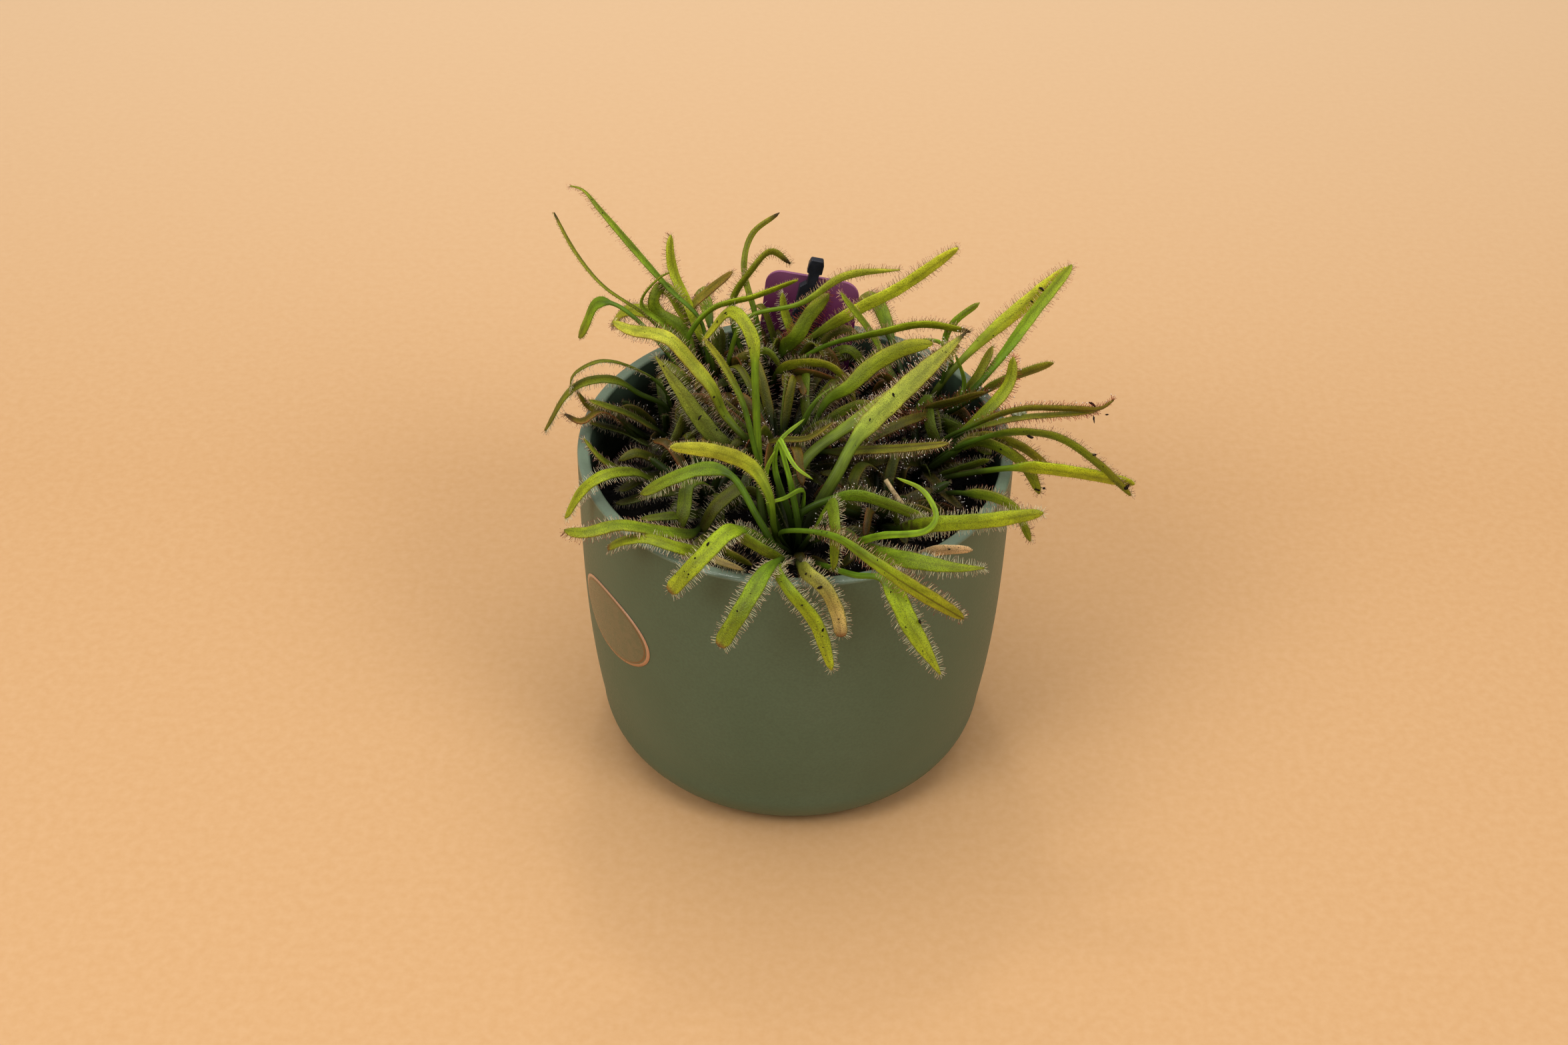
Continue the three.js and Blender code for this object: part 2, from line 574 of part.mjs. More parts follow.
function holder() {
  const group = new THREE.Group();
  group.add(named("pot", pot(), 0x6d7a62, 0.75));
  group.add(named("sticker", sticker(), 0x8a8a76, 0.35, true));
  return group;
}

function plant() {
  const group = new THREE.Group();
  for (const [name, spec] of Object.entries(ROSETTES)) {
    group.add(named(name, rosette(spec), 0x7f9a2c, 0.5));
  }
  return group;
}

function marker() {
  const group = new THREE.Group();
  group.add(named("tag", tagPlate(0), 0x5c2a55, 0.4));
  group.add(named("pick", pickBar(0), 0x26262c, 0.45));
  return group;
}

const sundew = new THREE.Group();
sundew.add(holder());
sundew.add(named("soil", soil(), 0x1d1712, 0.95));
sundew.add(plant());
sundew.add(marker());

export default sundew;
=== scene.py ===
"""The looks of a Cape sundew growing in a round matte pot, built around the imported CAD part.
+Z is up, the pot stands on z = 0 and the front is -Y. Sizes of the plant and the pot are in millimetres, as
in part.mjs, and MM scales them. The camera, the lights and the floor are in metres."""
import math

import bpy
import numpy as np
from mathutils import Matrix, Vector


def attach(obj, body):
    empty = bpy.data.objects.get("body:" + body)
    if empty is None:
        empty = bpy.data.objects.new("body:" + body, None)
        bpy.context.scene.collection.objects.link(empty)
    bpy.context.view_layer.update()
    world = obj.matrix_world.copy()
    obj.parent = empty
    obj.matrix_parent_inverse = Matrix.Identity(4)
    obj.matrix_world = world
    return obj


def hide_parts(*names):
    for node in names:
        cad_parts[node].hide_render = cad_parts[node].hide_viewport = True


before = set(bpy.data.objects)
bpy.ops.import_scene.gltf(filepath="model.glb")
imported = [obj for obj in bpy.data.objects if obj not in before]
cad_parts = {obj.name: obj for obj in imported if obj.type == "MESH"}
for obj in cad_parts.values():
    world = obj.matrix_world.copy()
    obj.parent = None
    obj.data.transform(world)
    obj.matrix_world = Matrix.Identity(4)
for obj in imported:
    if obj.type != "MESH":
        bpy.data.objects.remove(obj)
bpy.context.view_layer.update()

MM = 0.001
SEED = 11

# ---------------------------------------------------------------- the photograph's view

PHOTO_WIDTH = 2352
FOCAL_PIXELS = 3466
SENSOR = 36.0
CAMERA_TARGET = Vector((-0.0026, 0, 0.0647))
CAMERA_DISTANCE = 0.600
CAMERA_ELEVATION = math.radians(39.44)
CAMERA_ROLL = math.radians(0.9)
VIEW_GAMMA = 0.85  # the photograph's deep shadows

# ---------------------------------------------------------------- sizes, repeated from part.mjs

RIM_RADIUS = 55
POT_HEIGHT = 91
WALL = 3.2
FLOOR = 4
BASE_RADIUS = 48.2
FLARE_POWER = 3.3
CORNER_RADIUS = 14.5
RIM_ROUNDING = 0.8

STICKER_ANGLE = math.radians(-57)
STICKER_HEIGHT = 56
STICKER_SIZE = (32, 20.5)
STICKER_THICKNESS = 0.3  # a real sticker's, where part.mjs keeps to its least thickness
STICKER_BEVEL = 0.15  # how much lower its face is at the very edge
STICKER_BACK = 0.02  # its back's clearance off the wall

SOIL_TOP = 75.5
SOIL_EDGE = 71
MOUND_RADIUS = 40
SOIL_GAP = 0.6
GAP = 0.3

LEAF_ROOT = 78.4
STALK_THICKNESS = 1.2
BLADE_THICKNESS = 0.5  # a real blade's, where part.mjs keeps to its least thickness
GOLDEN_ANGLE = 137.5
# A young leaf's lean in degrees, length, width and droop: the first one's, and how much more each next has.
YOUNG_LEAF = ((14, 7), (15, 1.6), (2.3, 0.1), (1, 0.2))
YOUNG_STALK = (1.3, 0.35)  # its width, and its share of the leaf
TOWARDS_LIGHT = np.array([0, -0.77, 0.64])

TAG_WIDTH = 25
TAG_THICKNESS = 0.8
TAG_LENGTH = 45
TAG_CORNER = 4.4
TAG_AT = (0, 46.5)
TAG_LEAN = math.radians(5.5)
TAG_YAW = math.radians(-8)
PICK_WIDTH = 6
PICK_THICKNESS = 2
PICK_LENGTH = 52.8
PICK_HEAD = (4, 4.2)
PICK_NECK = (2.7, 3)
PICK_NOTCH = 0.5  # how deep a shallow notch is in each of its edges, which part.mjs leaves out
PICK_NOTCH_UNDER = (9, 8.6, 7.6, 7.2)  # its outline's heights, under the bar's top
PICK_SHOULDER = 1.5  # how far under its top the bar slopes in to the neck
PICK_HEAD_TOP = (0.8, 1.4)  # the head's top as a share of its width, and the height that slopes in to it
PICK_AT = (-5, 43.2)
PICK_LEAN = math.radians(11)
MARKER_FOOT = 66
TAG_BEVEL = 0.22
PICK_BEVEL = 0.35

# ---------------------------------------------------------------- leaf looks


def colour(code):
    """A hex colour as the linear RGB that Blender's shaders work in."""
    values = np.array([int(code[i:i + 2], 16) for i in (0, 2, 4)]) / 255
    return np.where(values <= 0.04045, values / 12.92, ((values + 0.055) / 1.055) ** 2.4)


# Stalk, blade and tip of the blade.
BLADES = {
    "lime": ("688816", "8ea21c", "9ca020"),
    "yellow": ("728c18", "a6b022", "a8ac24"),
    "gold": ("76901c", "acb636", "b4b83c"),
    "sage": ("7e922c", "98a63e", "a2a23c"),
    # bright: a lighter copy of the gold blades, as painted light for leaves that catch more of it.
    "bright": ("86982a", "b0b82c", "bab832"),
    "green": ("5e7c18", "748e18", "868e1c"),
    "olive": ("587210", "767f18", "7e781a"),
    "red": ("586c10", "76781c", "806c22"),
    "young": ("688a18", "789a20", "88a028"),
    "heart": ("3e5818", "4c6c1c", "5a7420"),
    "tan": ("747c2c", "8c9036", "b09664"),
    "dead": ("8a6c44", "d8be94", "ccae84"),
}
# Colours of a tentacle's foot, shaft and head, the shaft and share of the dark ones between them, and its
# length at the blade's edge in millimetres.
TENTACLES = {
    "pale": ("949058", "dcd8b8", "bc9c84", "947868", 0.25, 1.85),
    "rose": ("988848", "e0ccac", "8c4c44", "7a4844", 0.35, 1.85),
    "haze": ("a09850", "e0c4a4", "c48c70", "b47c64", 0.3, 1.9),
    "crimson": ("8c7c38", "bc5844", "902828", "64241e", 0.35, 1.75),
    "downy": ("a8b450", "d0c48e", "b08464", "94644c", 0.3, 0.85),
}
DEAD_DEPTH = 0.9  # how far dead tissue takes on its own tint
BROWN = colour("3c2818")
CUT_BROWN = colour("8a5f3c")
FOOT_SHADOW_GREEN = colour("1a3408")  # painted shadow on stalks near the stem
FOOT_REACH = 15  # how far up the stalk the painted shadow goes
FOOT_SHADE = 0.75
EDGE_LIGHT = 0.3  # how much brighter a blade is away from its crease
CREASE_SHADE = 0.36  # what its crease loses of that light
CREASE_REACH = 0.5  # how far out that fades, as a share of half the width
LEAF_TONES = (0.88, 1.1)  # how leaves differ in brightness
LEAF_GRAIN = 0.03  # and the vertices of one leaf
PAINTED_TUFT_SHADE = 0.88  # painted shade: how much darker the plant's colour is made low down inside the rim
PAINTED_TUFT_SHADE_HEIGHTS = (84, 110)
PAINTED_TUFT_SHADE_REACH = (46, 55)
# By tentacle kind or blade colour: the tint of the blade's edges and how strong it is.
EDGE_TINTS = {
    "pale": ("5c6a1c", 0.45), "crimson": ("84502c", 0.4), "rose": ("84602c", 0.55), "red": ("7c3a24", 0.7),
    "gold": ("8c6830", 0.45),
}
STAIN = (0.3, 0.6)  # how far along the blade a stain fades, and its share of the vertices
# The tint of a tip, and how far from its end it starts and is full.
TIP_TINTS = {"brown": (BROWN, 3.4, 1.2), "cut": (CUT_BROWN, 1.3, 0.2)}

# Each rosette: where its stem stands, the angle of its first young leaf, how many young leaves it has, its
# fillers and its leaves. Fillers are small leaves round the heart: how many, the height of the highest tip,
# and how far out they reach.
# Each leaf: its look, blade width, stalk width, turn about its midline, share that is stalk, then its midline
# from above the stem out to the tip. Midlines are the same as in part.mjs. Nearly all were taken one by one
# from the photograph and turned into whole millimetres outside both files. Some widths, shares and turns are
# set again here.
# A look is a blade colour, a kind of tentacle (none leaves the leaf bare) and any of these words: point or
# cut for the shape of the tip, slow or late where the blade opens out far from its stalk, brown or stain for
# dead tissue, rib for a dark midrib, specks for peat, dew, and spare for fewer tentacles.
ROSETTES = {
    "rosette_front": ((0, -30), 60, 6, (14, 95, 20), [
        ("olive downy slow", 2.8, 1.6, 45, 0.7, (-9, -27, 106), (-13, -22, 120), (-18, -17, 128),
         (-22, -14, 132)),
        ("yellow pale specks", 4, 1.9, 10, 0.68, (-7, -30, 88), (-9, -22, 104), (-10, -16, 120),
         (-11, -11, 131), (-16, -5, 134), (-23, -3, 124)),
        ("sage rose specks dew brown point", 6.2, 3, 0, 0.5, (4, -27, 88), (10, -23, 99), (15, -17, 106),
         (25, -10, 114), (33, -4, 119), (41, 2, 124)),
        ("sage rose dew cut slow", 5, 2.8, -20, 0.46, (0, -22, 88), (2, -16, 97), (15, -10, 106),
         (27, -6, 114), (39, 2, 121)),
        ("gold downy slow", 4.8, 1.5, -20, 0.5, (-3, -38, 86), (-5, -41, 97), (-6, -41, 106), (-10, -39, 113),
         (-18, -41, 119), (-29, -43, 122)),
        ("green pale", 4.6, 1.7, 30, 0.66, (-4, -43, 91), (-9, -42, 101), (-15, -37, 109), (-21, -34, 109),
         (-29, -34, 106), (-37, -33, 100)),
        ("young", 1.7, 1.7, 0, 0.6, (-1, -32, 92), (-5, -27, 104), (-4, -26, 111), (2, -22, 115)),
        ("young", 1.9, 1.9, 0, 0.5, (1, -35, 90), (-1, -32, 102), (-4, -29, 114), (0, -37, 112),
         (4, -39, 110)),
        ("young", 1.7, 1.7, 0, 0.5, (1, -32, 90), (2, -32, 101), (-3, -39, 104), (-7, -42, 105)),
        ("lime pale specks late", 4.7, 1.4, 25, 0.3, (-2, -50, 93), (-4, -57, 97), (-1, -63, 96),
         (5, -66, 89), (9, -71, 79)),
        ("tan pale specks cut", 4.8, 1.6, 25, 0.52, (1, -49, 92), (3, -59, 98), (7, -63, 97), (10, -65, 91),
         (11, -67, 86)),
        ("lime pale specks point", 5.6, 1.5, 0, 0.64, (7, -49, 92), (14, -58, 97), (21, -62, 99),
         (27, -69, 91), (34, -74, 81)),
        ("lime rose specks late rib", 5.4, 1.2, 30, 0.45, (-3, -44, 98), (9, -55, 106), (18, -64, 106),
         (27, -67, 101), (39, -67, 92)),
        ("green pale", 4.4, 1.6, 40, 0.4, (4, -42, 96), (8, -44, 107), (9, -51, 106), (9, -54, 95)),
        ("green pale dew", 3.8, 1.8, 30, 0.55, (1, -33, 94), (8, -33, 99), (15, -35, 102), (23, -36, 100),
         (32, -38, 97)),
        ("green pale specks cut slow", 5.4, 1.5, 15, 0.5, (-3, -49, 94), (-7, -61, 100), (-11, -68, 97),
         (-17, -72, 87)),
        ("lime pale specks cut", 5.4, 1.5, 20, 0.58, (-4, -39, 88), (-9, -45, 97), (-15, -52, 105),
         (-22, -58, 101), (-29, -60, 93)),
        ("green pale", 4.4, 1.5, 40, 0.5, (-4, -42, 92), (-14, -48, 101), (-7, -50, 97), (-2, -48, 92)),
        ("young", 1.9, 1.9, 0, 0.6, (-5, -35, 94), (-7, -32, 106), (-5, -31, 112)),
    ]),
    "rosette_front_left": ((-22, -12), 340, 6, (12, 95, 19), [
        ("lime pale cut", 4.6, 1.8, 42, 0.42, (-21, -42, 90), (-27, -49, 97), (-35, -48, 99), (-41, -47, 97),
         (-44, -47, 95)),
        ("green rose", 4.6, 1.5, 45, 0.45, (-25, -39, 93), (-32, -44, 98), (-41, -47, 102), (-49, -50, 102),
         (-54, -47, 100)),
        ("green pale", 4.8, 2, 20, 0.42, (-20, -21, 90), (-23, -24, 97), (-26, -28, 99), (-27, -34, 95),
         (-29, -35, 89)),
        ("olive pale", 4.6, 1.8, 25, 0.4, (-17, -25, 90), (-13, -27, 98), (-19, -32, 96), (-23, -33, 88)),
        ("lime rose", 4, 1.5, 58, 0.4, (-19, -34, 86), (-16, -45, 92), (-10, -48, 91)),
        ("olive pale", 4, 1.5, 50, 0.4, (-25, -13, 84), (-34, -20, 90), (-44, -22, 88)),
    ]),
    "rosette_left": ((-33, 14), 130, 5, (8, 94, 15), [
        ("green rose", 4.6, 2, 20, 0.45, (-29, 6, 88), (-29, 6, 98)),
        ("olive pale", 4, 1.6, 55, 0.5, (-33, 12, 92), (-40, 9, 99), (-46, 8, 104), (-53, 7, 104),
         (-58, 7, 100), (-64, 6, 89)),
        ("olive pale", 3.2, 1.2, 72, 0.5, (-33, 13, 96), (-40, 12, 104), (-49, 9, 109), (-56, 7, 106),
         (-57, 6, 102)),
        ("olive rose", 3.8, 1.5, 48, 0.5, (-40, 7, 88), (-47, 7, 94), (-52, 7, 96), (-55, 6, 101)),
        ("green rose", 3.2, 1.4, 54, 0.42, (-32, 9, 84), (-41, 6, 94), (-46, 4, 98), (-52, 3, 101)),
        ("red rose brown", 3.8, 1.5, 56, 0.55, (-40, 7, 86), (-49, 3, 98), (-54, 1, 96), (-58, 1, 98)),
        ("olive pale", 3.4, 1.4, 60, 0.4, (-36, 6, 84), (-43, 7, 88), (-53, 5, 93)),
        ("green rose", 3, 1.4, 50, 0.45, (-39, -7, 86), (-47, -14, 95), (-52, -13, 101)),
        ("lime pale", 4.4, 1.7, 42, 0.4, (-34, -10, 86), (-40, -19, 96), (-47, -25, 99), (-52, -26, 95),
         (-56, -28, 88)),
        ("olive pale", 4, 1.5, 45, 0.4, (-32, 7, 80), (-35, 5, 86), (-39, 4, 82)),
        ("olive pale", 4, 1.5, 50, 0.4, (-33, -1, 82), (-38, -14, 90), (-43, -22, 92)),
    ]),
    "rosette_back_left": ((-20, 33), 30, 5, (14, 102, 19), [
        ("green haze specks slow point", 3.3, 1.3, 50, 0.45, (-23, 28, 96), (-25, 29, 108), (-33, 34, 114),
         (-44, 41, 124), (-51, 46, 130), (-56, 51, 133), (-59, 51, 134)),
        ("olive downy brown", 2.4, 1.4, 72, 0.4, (-29, 28, 95), (-38, 32, 106), (-50, 35, 114),
         (-58, 45, 118), (-64, 54, 124)),
        ("green downy", 4, 1.1, 44, 0.76, (-29, 25, 94), (-40, 28, 107), (-47, 31, 111), (-52, 33, 110),
         (-55, 32, 104), (-57, 33, 99)),
        ("yellow haze", 4.2, 1.6, 40, 0.44, (-22, 29, 94), (-27, 33, 107), (-32, 40, 115), (-33, 42, 120),
         (-33, 44, 124)),
        ("red haze slow", 4.2, 1.2, -44, 0.5, (-25, 33, 95), (-28, 35, 107), (-24, 37, 111), (-17, 38, 117)),
        ("green rose", 4.2, 1.6, 25, 0.36, (-26, 28, 92), (-30, 31, 104), (-36, 32, 108), (-37, 32, 112),
         (-35, 35, 114), (-32, 34, 112), (-30, 33, 108), (-28, 32, 104)),
        ("green downy", 3, 1.3, 62, 0.5, (-27, 25, 94), (-34, 29, 106), (-40, 30, 112), (-36, 32, 118),
         (-33, 34, 119)),
        ("lime downy slow", 2.8, 1.6, 60, 0.5, (-28, 29, 95), (-28, 27, 104), (-22, 28, 112), (-11, 31, 114),
         (0, 33, 118)),
        ("gold haze slow point", 3.2, 1.3, 42, 0.62, (-18, 27, 95), (-13, 27, 110), (1, 27, 115),
         (12, 32, 120), (26, 34, 121)),
        ("green rose", 4.6, 1.8, 10, 0.45, (-22, 43, 90), (-25, 55, 97), (-27, 65, 93), (-28, 71, 83)),
        ("lime rose", 4.4, 1.8, 10, 0.45, (-28, 38, 90), (-37, 46, 97), (-46, 55, 93), (-51, 61, 84)),
    ]),
    "rosette_back": ((-2, 38), 220, 3, (18, 104, 22), [
        ("olive brown", 2, 1.4, 0, 0.55, (-8, 33, 92), (-11, 34, 107), (-14, 40, 117), (-12, 45, 124),
         (-5, 46, 130)),
        ("olive haze brown", 2.6, 1.5, 50, 0.55, (-13, 34, 92), (-17, 36, 108), (-12, 37, 118), (-7, 40, 122),
         (-2, 39, 119)),
        ("bright haze", 4.4, 1.7, 32, 0.42, (-1, 33, 95), (16, 35, 108), (26, 37, 113), (41, 40, 124)),
        ("green crimson", 5.2, 1.5, 15, 0.5, (-5, 31, 93), (-3, 30, 99), (0, 28, 104), (3, 30, 109),
         (8, 33, 114)),
        ("lime pale", 4.4, 1.8, 48, 0.42, (0, 33, 92), (-1, 32, 102), (-3, 34, 107), (-4, 36, 112)),
        ("lime haze brown slow", 3.6, 1.4, 57, 0.5, (-1, 27, 95), (8, 23, 105), (21, 20, 111), (32, 21, 113),
         (44, 21, 111)),
        ("yellow rose", 3.6, 1.5, 55, 0.42, (-6, 27, 90), (-3, 24, 97), (8, 18, 102), (13, 16, 98),
         (15, 14, 90)),
        ("green pale", 4.4, 1.8, 45, 0.4, (0, 25, 90), (2, 21, 97), (2, 16, 94), (3, 9, 89)),
        ("red rose", 4.2, 1.5, 60, 0.42, (-4, 29, 88), (-1, 25, 94), (4, 20, 98), (11, 18, 97)),
    ]),
    "rosette_middle": ((-4, 6), 300, 6, (34, 100, 25), [
        ("sage pale specks point", 5.6, 2.2, 0, 0.2, (-11, 1, 84), (-18, -2, 91), (-23, -1, 97),
         (-29, 1, 106), (-35, 4, 114)),
        ("gold rose specks slow", 4.9, 1.6, 25, 0.3, (-12, -1, 92), (-18, 1, 99), (-21, 1, 107),
         (-26, 3, 113), (-32, 5, 119), (-42, 10, 118), (-46, 13, 118)),
        ("olive rose dew rib", 3.7, 1.5, -43, 0.42, (4, -1, 88), (14, -12, 98), (27, -17, 103),
         (37, -19, 106)),
        ("lime rose slow", 5.4, 1.3, 10, 0.38, (4, 5, 92), (8, 6, 100), (13, 6, 104), (19, 10, 108),
         (27, 12, 112), (34, 13, 113)),
        ("olive rose rib", 3.4, 1.4, -55, 0.42, (-9, -1, 90), (-4, -8, 98), (3, -11, 101), (9, -10, 105)),
        ("young", 1.8, 1.8, 0, 0.5, (1, 7, 90), (5, 8, 98), (11, 9, 103)),
    ]),
    "rosette_back_right": ((32, 24), 150, 5, (16, 100, 20), [
        ("green haze", 4.2, 1.8, 58, 0.4, (26, 23, 93), (20, 27, 105), (11, 29, 117)),
        ("bright haze specks slow", 5, 1.7, 15, 0.44, (37, 21, 94), (46, 26, 103), (59, 33, 112),
         (70, 38, 120)),
        ("green haze slow", 4.8, 2, -42, 0.46, (42, 16, 92), (52, 20, 104), (60, 27, 113), (70, 36, 122)),
        ("green", 2.3, 1.1, 0, 0.66, (38, 21, 98), (38, 24, 107), (40, 24, 112), (46, 24, 118)),
        ("olive haze", 4, 1.6, -48, 0.5, (41, 18, 92), (45, 18, 97), (50, 22, 106)),
        ("olive downy", 4.2, 1.6, 53, 0.62, (40, 13, 92), (52, 12, 102), (65, 15, 106)),
        ("olive crimson dew rib", 3.8, 1.5, 55, 0.4, (35, 9, 96), (41, 8, 99), (48, 9, 101)),
        ("green pale dew", 4.4, 1.8, 40, 0.42, (35, 10, 90), (40, 6, 92), (49, 3, 86)),
        ("green pale", 4.4, 1.8, 40, 0.42, (31, 13, 92), (33, 14, 95), (34, 5, 93), (37, 1, 87)),
        ("young", 1.9, 1.2, 0, 0.5, (40, 24, 99), (37, 23, 106), (32, 22, 108)),
        ("young", 1.5, 1.5, 0, 0.6, (42, 15, 94), (43, 17, 98), (40, 16, 108)),
        ("green rose", 4.6, 1.8, 10, 0.45, (27, 37, 90), (22, 53, 97), (18, 64, 93), (16, 70, 84)),
    ]),
    "rosette_right": ((31, 1), 180, 4, (8, 94, 15), [
        ("lime crimson dew", 4.8, 2, -38, 0.42, (38, -1, 90), (46, 1, 99), (53, 6, 106), (54, 9, 112)),
        ("olive crimson dew rib", 3.4, 1.3, 65, 0.45, (35, -2, 92), (44, -5, 101), (55, -5, 106),
         (67, -3, 105), (76, 0, 103), (79, 1, 105)),
        ("olive crimson", 4.4, 1.4, -67, 0.45, (35, -1, 90), (43, -2, 97), (54, -3, 102), (67, -2, 103),
         (75, 2, 101)),
        ("green rose specks", 4.4, 1.5, 66, 0.48, (38, -6, 93), (48, -13, 104), (56, -17, 108),
         (64, -18, 107), (73, -21, 102), (82, -22, 93)),
        ("olive rose", 4.2, 1.6, 52, 0.45, (37, -5, 90), (46, -6, 98), (55, -12, 100), (63, -15, 95)),
        ("yellow downy", 4.8, 1.6, 45, 0.56, (35, -6, 84), (41, -11, 90), (55, -18, 98), (68, -21, 99),
         (83, -20, 95)),
        ("green rose specks", 4.4, 1.7, 48, 0.45, (36, -6, 90), (44, -8, 98), (50, -10, 98), (57, -11, 93),
         (61, -13, 86)),
        ("young", 2.4, 1.8, 0, 0.3, (35, -1, 84), (41, -4, 92)),
        ("green pale", 3.6, 1.5, 52, 0.45, (35, -5, 84), (41, -9, 90), (48, -11, 95)),
        ("green rose", 4, 1.3, 48, 0.6, (35, -8, 82), (41, -22, 93), (48, -26, 95), (53, -29, 94),
         (57, -34, 88)),
    ]),
    "rosette_front_right": ((21, -18), 40, 6, (15, 96, 20), [
        ("lime pale stain", 5, 2.2, 18, 0.36, (25, -33, 90), (33, -44, 101), (45, -46, 104), (58, -44, 105)),
        ("green pale point", 5.2, 1.5, -12, 0.42, (17, -43, 92), (25, -53, 98), (37, -57, 99), (44, -56, 98)),
        ("young", 2.6, 2.6, 0, 0.3, (13, -41, 92), (20, -52, 104), (30, -57, 110), (32, -56, 113),
         (29, -50, 116), (23, -48, 118)),
        ("green pale", 3.6, 1.5, 50, 0.45, (21, -29, 92), (23, -32, 96), (25, -32, 90)),
        ("green rose", 4.2, 1.6, 45, 0.35, (23, -23, 86), (26, -27, 92), (33, -31, 93), (36, -33, 89)),
        ("green rose dew", 4.2, 1.6, 40, 0.35, (22, -11, 88), (17, -12, 94), (14, -18, 92), (16, -22, 87)),
    ]),
}

# More leaves low in the tuft, taken one by one and written as those above. They lie inside its outline, and
# part.mjs has none of them.
INNER_LEAVES = {
    "rosette_middle": [
        ("olive crimson dew", 3.6, 1.5, 170, 0.3, (11, -1, 86), (18, 0, 92), (26, 3, 95), (34, 9, 94)),
        ("olive rose dew", 3.6, 1.5, 185, 0.3, (13, -6, 88), (21, -8, 92), (30, -4, 92), (35, -1, 90)),
        ("red rose", 3.2, 1.4, 20, 0.35, (5, 15, 88), (10, 13, 95), (16, 18, 99)),
        ("olive rose dew", 3.4, 1.5, 150, 0.3, (9, 13, 86), (16, 11, 93), (23, 10, 97), (26, 13, 97)),
    ],
    "rosette_back_right": [
        ("red rose dew", 3.4, 1.4, 165, 0.3, (31, 18, 86), (26, 12, 93), (20, 10, 95), (16, 10, 92)),
        ("olive rose dew", 3.4, 1.4, 150, 0.3, (32, 15, 86), (26, 6, 92), (21, 0, 93)),
        ("green", 5.2, 1.8, 0, 0.35, (36, 15, 88), (40, 6, 92), (45, -2, 94), (49, -5, 92)),
    ],
    "rosette_right": [
        ("green rose dew", 3.4, 1.4, 170, 0.3, (33, 0, 84), (26, -5, 90), (20, -8, 92), (16, -8, 90)),
        ("olive crimson dew", 3.2, 1.4, 175, 0.3, (35, -1, 84), (41, -8, 90), (47, -10, 91)),
        ("olive rose dew", 3.2, 1.4, 160, 0.3, (33, -3, 84), (37, -16, 88), (41, -22, 88)),
    ],
    "rosette_front_right": [
        ("green pale dew", 3.2, 1.4, 160, 0.3, (21, -19, 84), (18, -20, 90), (13, -19, 93)),
        ("olive rose dew", 3.4, 1.4, 170, 0.3, (23, -19, 84), (29, -19, 89), (34, -17, 90)),
        ("green rose dew", 3.2, 1.4, 20, 0.35, (18, -29, 86), (14, -40, 88), (11, -40, 84)),
        ("dead specks slow", 3.6, 1, 20, 0.5, (28, -38, 86), (34, -44, 93), (38, -46, 95), (42, -46, 95)),
    ],
    "rosette_front_left": [
        ("olive pale", 3.4, 1.4, 40, 0.35, (-19, -28, 86), (-23, -41, 92), (-26, -46, 92)),
        ("green pale", 3.2, 1.4, 35, 0.35, (-22, -25, 88), (-31, -35, 95), (-37, -35, 94)),
        ("dead rose slow", 1.5, 0.8, 40, 0.3, (-20, -30, 86), (-16, -38, 90), (-21, -45, 88)),
        ("tan pale specks", 2.6, 1.2, 30, 0.4, (-21, -34, 88), (-20, -46, 92), (-12, -51, 92)),
    ],
    "rosette_left": [
        ("olive pale", 3.4, 1.4, 40, 0.35, (-33, -2, 86), (-29, 2, 94), (-27, 9, 97)),
        ("green rose", 3.2, 1.4, 30, 0.35, (-34, -2, 86), (-40, -8, 93), (-44, -10, 92)),
    ],
    "rosette_back_left": [
        ("olive rose", 3.4, 1.4, 30, 0.35, (-20, 31, 90), (-15, 27, 97), (-10, 30, 99)),
        ("green rose", 3.4, 1.4, 25, 0.35, (-25, 24, 88), (-30, 22, 96), (-35, 25, 98)),
    ],
    "rosette_back": [
        ("green rose", 3.6, 1.4, 30, 0.35, (-1, 34, 88), (8, 30, 95), (17, 31, 97)),
        ("lime", 2.6, 1.4, 20, 0.35, (17, 32, 90), (19, 28, 97), (22, 28, 101)),
    ],
}

CRUMBS_A_LEAF = 4
CRUMB_RADII = (0.12, 0.3)  # the least, and how much more the largest have
CRUMB_SHAPE = np.array([1.5, 0.8, 0.5])  # crumbs on leaves lie flat and long
# Larger crumbs of peat that hang on leaves at the right and lie on broad blades: place and radius. Their
# places, the grain's and the twig's were taken one by one and turned into millimetres as the midlines were.
STRAY_CRUMBS = np.array([
    (73.4, -0.7, 105, 0.5), (74.2, -1.7, 101, 0.5), (77.1, -2.4, 103, 0.35), (72, -20.8, 104.6, 0.5),
    (80.8, -22.2, 95.8, 0.7), (60.2, -14, 88, 0.45), (61.8, -14.7, 89, 0.4), (56.5, -18.5, 108, 0.6),
    (62.7, 34.6, 115.5, 0.5), (-24, -2.2, 100, 0.45), (28.9, -68.6, 92.3, 0.5), (33.4, -65.8, 97.4, 0.6),
    (9.2, -65, 88.5, 0.4), (1.8, -64.6, 93.4, 0.4), (5.9, -63, 97.4, 0.4),
])
PERLITE_AT = np.array([54.9, -0.9, 102.2])  # one pale grain caught under a leaf
PERLITE_SPILL = ((34, -30, 78), (40, -19, 82))  # box of loose grains at the front right
PERLITE_GRAINS = 26
PERLITE_RADII = (0.15, 0.3)
TWIG = np.array([(21.8, -24.8, 99), (23.7, -26.9, 97), (26, -29.3, 95)])
TWIG_RADIUS = 0.6

